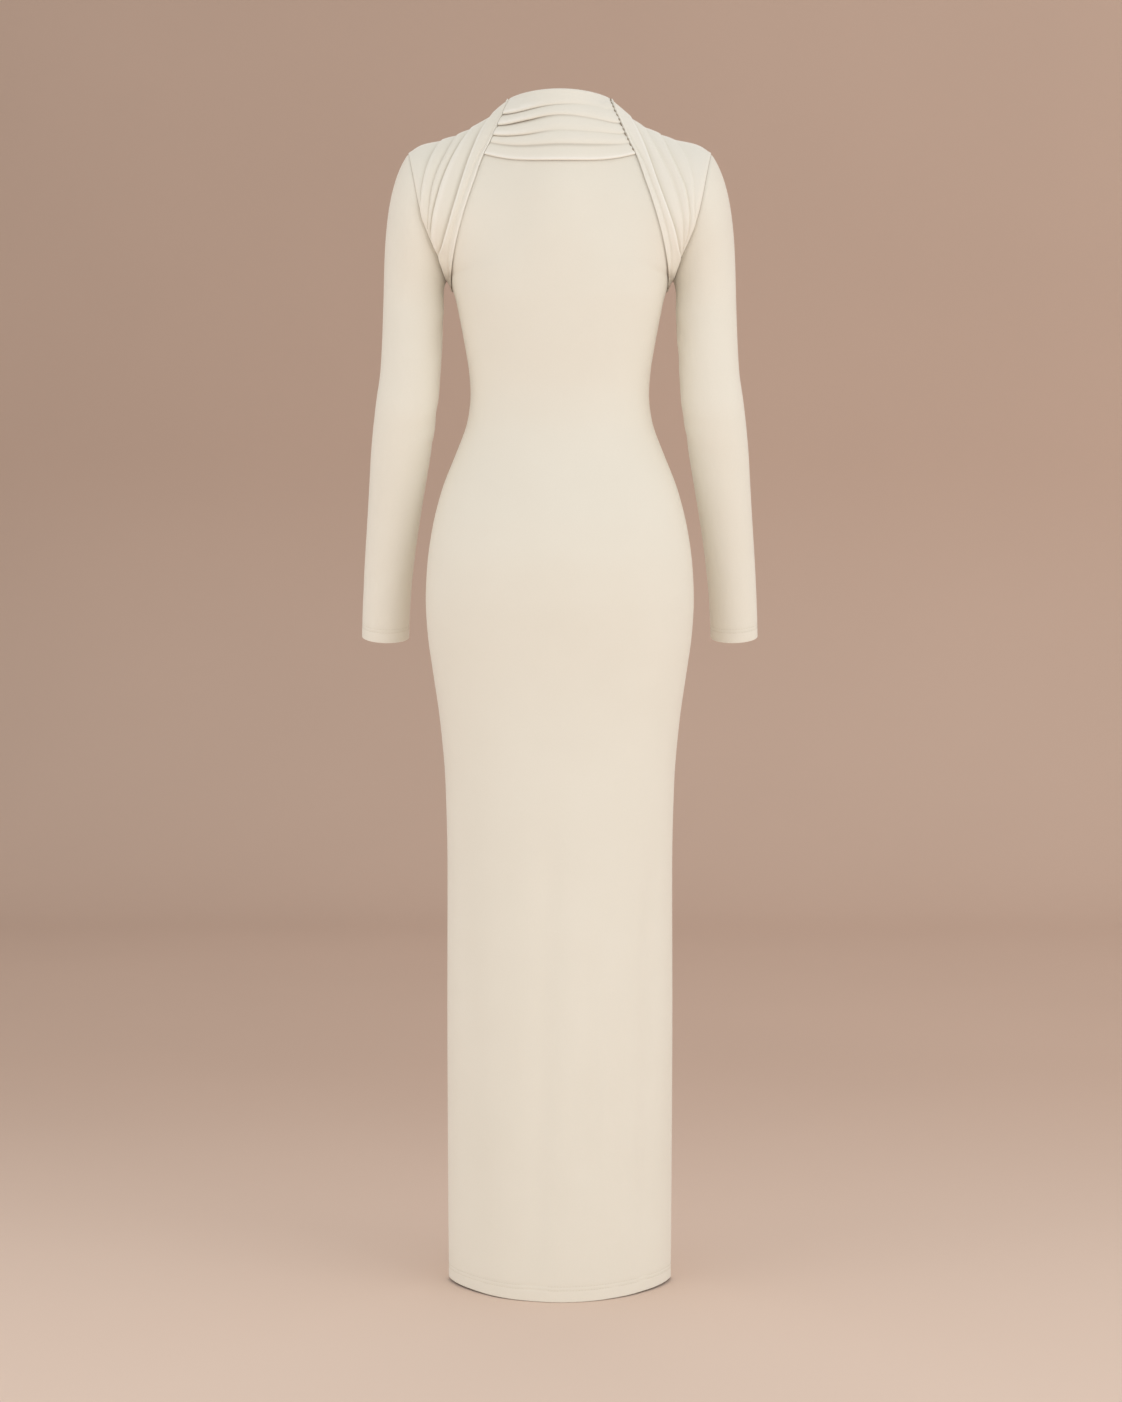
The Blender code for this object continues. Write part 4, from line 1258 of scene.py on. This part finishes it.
class DRESS_OT_neck_drape(bpy.types.Operator):
    """Make the band of soft cross folds at the back of the neck"""

    bl_idname = "dress.neck_drape"
    bl_label = "Neck drape"

    RIM = ((-0.0010, -0.0020), (-0.0012, 0.0006), (-0.0004, 0.0020), (0.0010, 0.0022))
    RIM_CLEAR = (0.012, 0.042)
    RIM_LIFT = 0.0010
    LOW_EDGE_SHARE = 0.4
    LOW_EDGE_SHADE = 0.9

    def seen_places(self, share, low, ends):
        """One column's places down the patch, by their places as the camera sees them, and its height."""
        places = [i / NECK_SAMPLES for i in range(NECK_SAMPLES + 1)]
        points = [form_point(BACK, ends(place) * share, mix(1.0, low, place)) for place in places]
        seen = [point.z - VIEW_SLOPE * point.y for point in points]
        height = seen[0] - seen[-1]
        return Curve([(seen[0] - at) / height for at in seen], places), height

    def execute(self, context):
        scale = context.scene.dress_settings.pleat_scale

        def side_across(up):
            point = patch_point(BACK, 1.0, up)
            return edge_across(BACK, up) - NECK_DRAPE_SIDE_GAP / point.x

        corner_up = first_place(
            lambda up: patch_point(BACK, side_across(up), up).z < NECK_DRAPE_LOW_SIDE, low=0.5
        )
        places = [i / NECK_SAMPLES for i in range(NECK_SAMPLES + 1)]
        ends = Curve(places, [side_across(mix(1.0, corner_up, place)) for place in places])
        columns, shades = [], []
        for j in range(NECK_DRAPE_COLUMNS + 1):
            share = mix(-1.0, 1.0, j / NECK_DRAPE_COLUMNS)
            edges = [0.0, *(Curve(NECK_ENDS, fold.places)(share) for fold in NECK_FOLDS), 1.0]
            caught = ease((abs(share) - NECK_END_SHARE) / (1 - NECK_END_SHARE))
            settle = mix(1.0, NECK_END_LIFT, caught)
            heights = [Curve(NECK_ENDS, fold.heights)(share) * scale * settle for fold in NECK_FOLDS]
            heights.append(NECK_LOW_BAND * settle)
            softness = [Curve(NECK_ENDS, fold.softness)(share) for fold in NECK_FOLDS] + [0.0]
            low_height = mix(NECK_DRAPE_LOW_CENTRE, NECK_DRAPE_LOW_SIDE, share**2)
            low = up_at(BACK, abs(share) * ends(1.0), low_height)
            seen, metres = self.seen_places(share, low, ends)
            column, hollows = [], []

            def add(place, lift, hollow, share=share, low=low, seen=seen, column=column, hollows=hollows):
                inside = seen(min(max(place, 0.0), 1.0))
                at, normal, _ = form_at(BACK, ends(inside) * share, mix(1.0, low, inside))
                column.append(at + normal * lift)
                # Painted shade in the folds, drawn stronger on the neck drape, and painted light over all of
                # it.
                hollows.append(hollow * (COLLAR_SHADE if hollow > 0 else 1) - COLLAR_PAINTED_LIGHT)

            rim, outward, _ = form_at(BACK, ends(0.0) * share, 1.0)
            rise = Vector((0, 0, 1))
            for out, up in self.RIM:
                column.append(rim + (outward * out + rise * up) * settle)
                # The rim gets only the painted light.
                hollows.append(-COLLAR_PAINTED_LIGHT)
            before = 0.0
            for k, (start, end) in enumerate(zip(edges, edges[1:])):
                profile = band_profile(softness[k])
                depth = heights[k] / settle if k < len(NECK_FOLDS) else COLLAR_EDGE_DEPTH
                start += before * OVERHANG / metres
                for at, shade in zip(profile, painted_shade_shares(profile, before, depth)):
                    place = mix(start, end, at.share) + at.lean * heights[k] / metres
                    lift = at.lift * heights[k]
                    if k == 0:
                        place = max(place, mix(*self.RIM_CLEAR, at.share))
                        lift = max(lift, self.RIM_LIFT * (1 - at.share) * settle)
                    add(place, NECK_DRAPE_REST + lift, shade)
                before = depth
            # Painted shade along the low edge.
            add(1.0, NECK_DRAPE_REST * self.LOW_EDGE_SHARE, self.LOW_EDGE_SHADE)
            columns.append(column)
            shades.append(hollows)
        mesh = cloth_mesh("neck_drape_cloth", columns, hollows=shades)
        mesh.flip_normals()
        item = cloth_piece("neck_drape_cloth", mesh, DRAPE_CLOTH)
        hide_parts("neck_drape")
        return {"FINISHED"}


def thread_material(name, deep, light):
    """Sewing thread with the twist of its plies."""
    shading = Shading(name)
    place = shading.node("ShaderNodeTexCoord", None, None, "Object")
    twist = shading.node("ShaderNodeTexNoise", None, {"Vector": place, "Scale": 1500.0, "Detail": 2.0}, "Fac")
    shading.feed("Base Color", shading.blend(deep, light, twist))
    shading.feed("Roughness", twist * 0.2 + 0.45)
    relief = {"Strength": 0.4, "Distance": 0.0001, "Height": twist}
    shading.feed("Normal", shading.node("ShaderNodeBump", None, relief, "Normal"))
    return shading.material


class DRESS_OT_stitching(bpy.types.Operator):
    """Sew the twin rows at hem, cuffs and front neckline, and lay a row of short dark dashes at the neck
    drape's right end
    """

    bl_idname = "dress.stitching"
    bl_label = "Stitching"

    Sewing = namedtuple("Sewing", "stitch step thread")
    TWIN_NEEDLE = Sewing(0.0030, 0.0038, 0.00028)
    DARK_DASHES = Sewing(0.0042, 0.0068, 0.0008)
    SUNK = 0.3
    SAMPLES = 120
    NECKLINE_SHARES = (0.93, 0.90)
    COLLAR_ENDS = (0.970, 0.68)
    COLLAR_INSET = 0.0014
    COLLAR_LIFT = 0.006

    def surface(self, name):
        """The finished outside of a piece, to lay stitches on."""
        return BVHTree.FromObject(bpy.data.objects[name], bpy.context.evaluated_depsgraph_get())

    def sew(self, shape, surface, line, sewing):
        """One row of stitches along a line of points, each laid on the cloth."""
        lengths = lengths_along(line)
        runs = [Curve(lengths, [point[axis] for point in line]) for axis in range(3)]
        count = int(lengths[-1] / sewing.step)
        for i in range(count):
            start = mix(0.0, lengths[-1], i / count)
            ends = []
            for at in (start, start + sewing.stitch):
                place = Vector([run(at) for run in runs])
                ends.append(surface.find_nearest(place))
            along = (ends[1][0] - ends[0][0]) / 2
            out = (ends[0][1] + ends[1][1]).normalized()
            middle = (ends[0][0] + ends[1][0]) / 2 + out * sewing.thread * (1 - self.SUNK)
            side = along.cross(out).normalized()
            place = Matrix((out * sewing.thread, side * sewing.thread, along)).transposed().to_4x4()
            place.translation = middle
            bmesh.ops.create_uvsphere(shape, u_segments=5, v_segments=4, radius=1.0, matrix=place)

    def piece(self, name, rows, material, sewing=TWIN_NEEDLE):
        shape = bmesh.new()
        for cloth, line in rows:
            self.sew(shape, self.surface(cloth), line, sewing)
        bmesh.ops.recalc_face_normals(shape, faces=shape.faces)
        mesh = bpy.data.meshes.new(name)
        shape.to_mesh(mesh)
        shape.free()
        mesh.materials.append(material)
        mesh.shade_smooth()
        item = new_object(name, mesh)
        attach(item, "root")

    def hem_line(self, face, rise):
        points = []
        for i in range(self.SAMPLES + 1):
            share = mix(-1.0, 1.0, i / self.SAMPLES)
            point = section_point(face, abs(share), SECTIONS[0].height + rise)
            point.x *= math.copysign(1, share)
            point.y -= face * fold_depth(FOLDS[face], point.x, point.z)
            points.append(point)
        return points

    def collar_end(self):
        """The line along the right shoulder drape's inner edge, where the dark dashes lie on the neck drape's
        end.
        """
        points = []
        for i in range(self.SAMPLES + 1):
            up = mix(*self.COLLAR_ENDS, i / self.SAMPLES)
            across = edge_across(BACK, up) - self.COLLAR_INSET / patch_point(BACK, 1.0, up).x
            point, normal, _ = form_at(BACK, across, up)
            if point.z > NECK_DRAPE_LOW_SIDE:
                points.append(point + normal * self.COLLAR_LIFT)
        return points

    def neckline(self, up):
        places = [mix(-NECK_SHARE, NECK_SHARE, i / self.SAMPLES) for i in range(self.SAMPLES + 1)]
        return [form_point(FRONT, across, up) for across in places]

    def execute(self, context):
        settings = context.scene.dress_settings
        thread = thread_material("ivory_thread", settings.thread_colour, settings.light_colour)
        dark = thread_material("brown_thread", settings.dark_dash_colour, settings.thread_colour)
        hem = [("back_panel_cloth", self.hem_line(BACK, rise)) for rise in STITCH_LINES]
        hem += [("front_panel_cloth", self.hem_line(FRONT, rise)) for rise in STITCH_LINES]
        self.piece("hem_stitches", hem, thread)
        for name, side in (("left", LEFT), ("right", RIGHT)):
            rings = [arm_ring(side, ARM[0].height + rise)[0] for rise in STITCH_LINES]
            rows = [(f"sleeve_{name}_cloth", ring + ring[:1]) for ring in rings]
            self.piece(f"cuff_stitches_{name}", rows, thread)
        neckline = [("front_panel_cloth", self.neckline(up)) for up in self.NECKLINE_SHARES]
        self.piece("neckline_stitches", neckline, thread)
        # A row of short dark dashes along the neck drape's right end.
        self.piece("collar_stitches", [("neck_drape_cloth", self.collar_end())], dark, self.DARK_DASHES)
        return {"FINISHED"}


class DRESS_OT_stage(bpy.types.Operator):
    """Make the floor, the backdrop with painted light on it, the soft light and the camera"""

    bl_idname = "dress.stage"
    bl_label = "Stage"

    FLOOR_GAP = 0.0002
    NEAR, FAR, TURN, TOP, HALF_WIDTH = -5.0, 3.4, 1.2, 4.5, 6.0
    TURN_ROWS = 16
    # Painted light on the floor: the depths where the backdrop colour starts turning to the lighter floor
    # colour, and where the turn is full.
    FLOOR_LIGHT_RAMP = (1.6, -0.6)
    DARKER, LIGHTER = 0.83, 1.15
    # The backdrop's random cloudiness, the painted light that makes it lighter towards the right, and its
    # mean tone.
    CLOUDS, TO_THE_RIGHT, MEAN_TONE = 0.2, 0.17, 0.55
    LIGHT_COLOUR = (1.0, 0.985, 0.965)
    LIGHTS = table(
        namedtuple("Light", "name setting place target size"),
        ("key_light", "key_power", (2.9, -2.5, 0.0), (0, 0, -0.95), (2.4, 2.4)),
        ("fill_light", "fill_power", (-3.0, -2.2, -0.52), (0, 0, -0.62), (2.4, 1.6)),
        ("side_light_left", "side_power", (-3.0, -0.9, -0.3), (0, 0, -0.6), (2.0, 2.1)),
        ("side_light_right", "side_power", (3.0, -0.9, -0.3), (0, 0, -0.6), (2.0, 2.1)),
        ("low_light", "low_power", (0.2, -4.2, -1.0), (0, 0, -1.15), (3.0, 0.8)),
        ("far_light", "far_power", (0.0, 2.9, 2.1), (0, 0, -0.6), (3.2, 1.4)),
    )
    SENSOR = 36.0
    FOCAL_PIXELS = 2800
    FRAME_HEIGHT = 1402
    CAMERA_PLACE = (0.0015, -3.5, -0.5186)
    CAMERA_DIP = 2.9

    def soft_light(self, light, power):
        lamp = bpy.data.lights.new(light.name, "AREA")
        lamp.shape = "RECTANGLE"
        lamp.size, lamp.size_y = light.size
        lamp.energy = power
        lamp.color = self.LIGHT_COLOUR
        item = new_object(light.name, lamp)
        item.location = light.place
        item.rotation_euler = (Vector(light.target) - item.location).to_track_quat("-Z", "Y").to_euler()

    def backdrop(self, settings):
        floor = SECTIONS[0].height - HEM_DIP - self.FLOOR_GAP
        profile = [(self.NEAR, floor), (self.FAR, floor)]
        for i in range(1, self.TURN_ROWS + 1):
            angle = math.pi / 2 * i / self.TURN_ROWS
            depth, rise = math.sin(angle), 1 - math.cos(angle)
            profile.append((self.FAR + self.TURN * depth, floor + self.TURN * rise))
        profile.append((self.FAR + self.TURN, self.TOP))
        points = [[Vector((x, y, z)) for x in (-self.HALF_WIDTH, self.HALF_WIDTH)] for y, z in profile]
        mesh = cloth_mesh("studio_backdrop", points)
        item = new_object("studio_backdrop", mesh)
        mesh.shade_smooth()
        shading = Shading("studio_paper")
        place = shading.node("ShaderNodeTexCoord", None, None, "Object")
        clouds = {"Vector": place, "Scale": 1.3, "Detail": 2.0}
        uneven = shading.node("ShaderNodeTexNoise", None, clouds, "Fac")
        level = shading.node("ShaderNodeSeparateXYZ", None, {"Vector": place}, "X")
        depth = shading.node("ShaderNodeSeparateXYZ", None, {"Vector": place}, "Y")
        # The tone varies at random, and painted light makes it lighter towards the right.
        tone = (uneven - 0.5) * self.CLOUDS + level * self.TO_THE_RIGHT + self.MEAN_TONE
        # Painted light on the floor, lighter towards the camera.
        painted_floor_light = shading.node(
            "ShaderNodeMapRange",
            {"interpolation_type": "SMOOTHSTEP"},
            {"Value": depth, "From Min": self.FLOOR_LIGHT_RAMP[0], "From Max": self.FLOOR_LIGHT_RAMP[1]},
        )
        darker = tuple(channel * self.DARKER for channel in settings.colour)
        lighter = tuple(channel * self.LIGHTER for channel in settings.colour)
        wall = shading.blend(darker, lighter, tone)
        shading.feed("Base Color", shading.blend(wall, settings.lit_floor_colour, painted_floor_light))
        shading.feed("Roughness", 0.9)
        shading.feed("Specular IOR Level", 0.2)
        mesh.materials.append(shading.material)

    def execute(self, context):
        settings = context.scene.stage_settings
        self.backdrop(settings)
        for light in self.LIGHTS:
            self.soft_light(light, getattr(settings, light.setting))
        world = bpy.data.worlds.new("studio_room")
        world.use_nodes = True
        background = world.node_tree.nodes["Background"]
        background.inputs["Color"].default_value = (*self.LIGHT_COLOUR, 1.0)
        background.inputs["Strength"].default_value = settings.sky
        context.scene.world = world
        camera = bpy.data.cameras.new("camera")
        camera.sensor_fit = "VERTICAL"
        camera.sensor_height = self.SENSOR
        camera.lens = self.FOCAL_PIXELS / self.FRAME_HEIGHT * self.SENSOR
        item = new_object("camera", camera)
        item.location = self.CAMERA_PLACE
        item.rotation_euler = (math.radians(90 - self.CAMERA_DIP), 0.0, 0.0)
        context.scene.camera = item
        context.scene.view_settings.view_transform = "Standard"
        return {"FINISHED"}


OPERATORS = (
    DRESS_OT_stage,
    DRESS_OT_body,
    DRESS_OT_sleeves,
    DRESS_OT_shoulder_drapes,
    DRESS_OT_neck_drape,
    DRESS_OT_stitching,
)


class DRESS_PT_pieces(bpy.types.Panel):
    """Lists the dress's pieces and their sizes"""

    bl_idname = "DRESS_PT_pieces"
    bl_label = "Knit maxi dress"
    bl_space_type = "VIEW_3D"
    bl_region_type = "UI"
    bl_category = "Dress"

    def draw(self, context):
        for operator in OPERATORS:
            self.layout.operator(operator.bl_idname)
        for group in (context.scene.dress_settings, context.scene.stage_settings):
            for name in group.__annotations__:
                self.layout.prop(group, name)


CLASSES = (DressSettings, StageSettings, *OPERATORS, DRESS_PT_pieces)


def register():
    for item in CLASSES:
        bpy.utils.register_class(item)
    bpy.types.Scene.dress_settings = bpy.props.PointerProperty(type=DressSettings)
    bpy.types.Scene.stage_settings = bpy.props.PointerProperty(type=StageSettings)


def unregister():
    del bpy.types.Scene.stage_settings
    del bpy.types.Scene.dress_settings
    for item in reversed(CLASSES):
        bpy.utils.unregister_class(item)


def main():
    register()
    bpy.ops.dress.stage()
    bpy.ops.dress.body()
    bpy.ops.dress.sleeves()
    bpy.ops.dress.shoulder_drapes()
    bpy.ops.dress.neck_drape()
    bpy.ops.dress.stitching()
    bpy.context.view_layer.update()


if __name__ == "__main__":
    main()
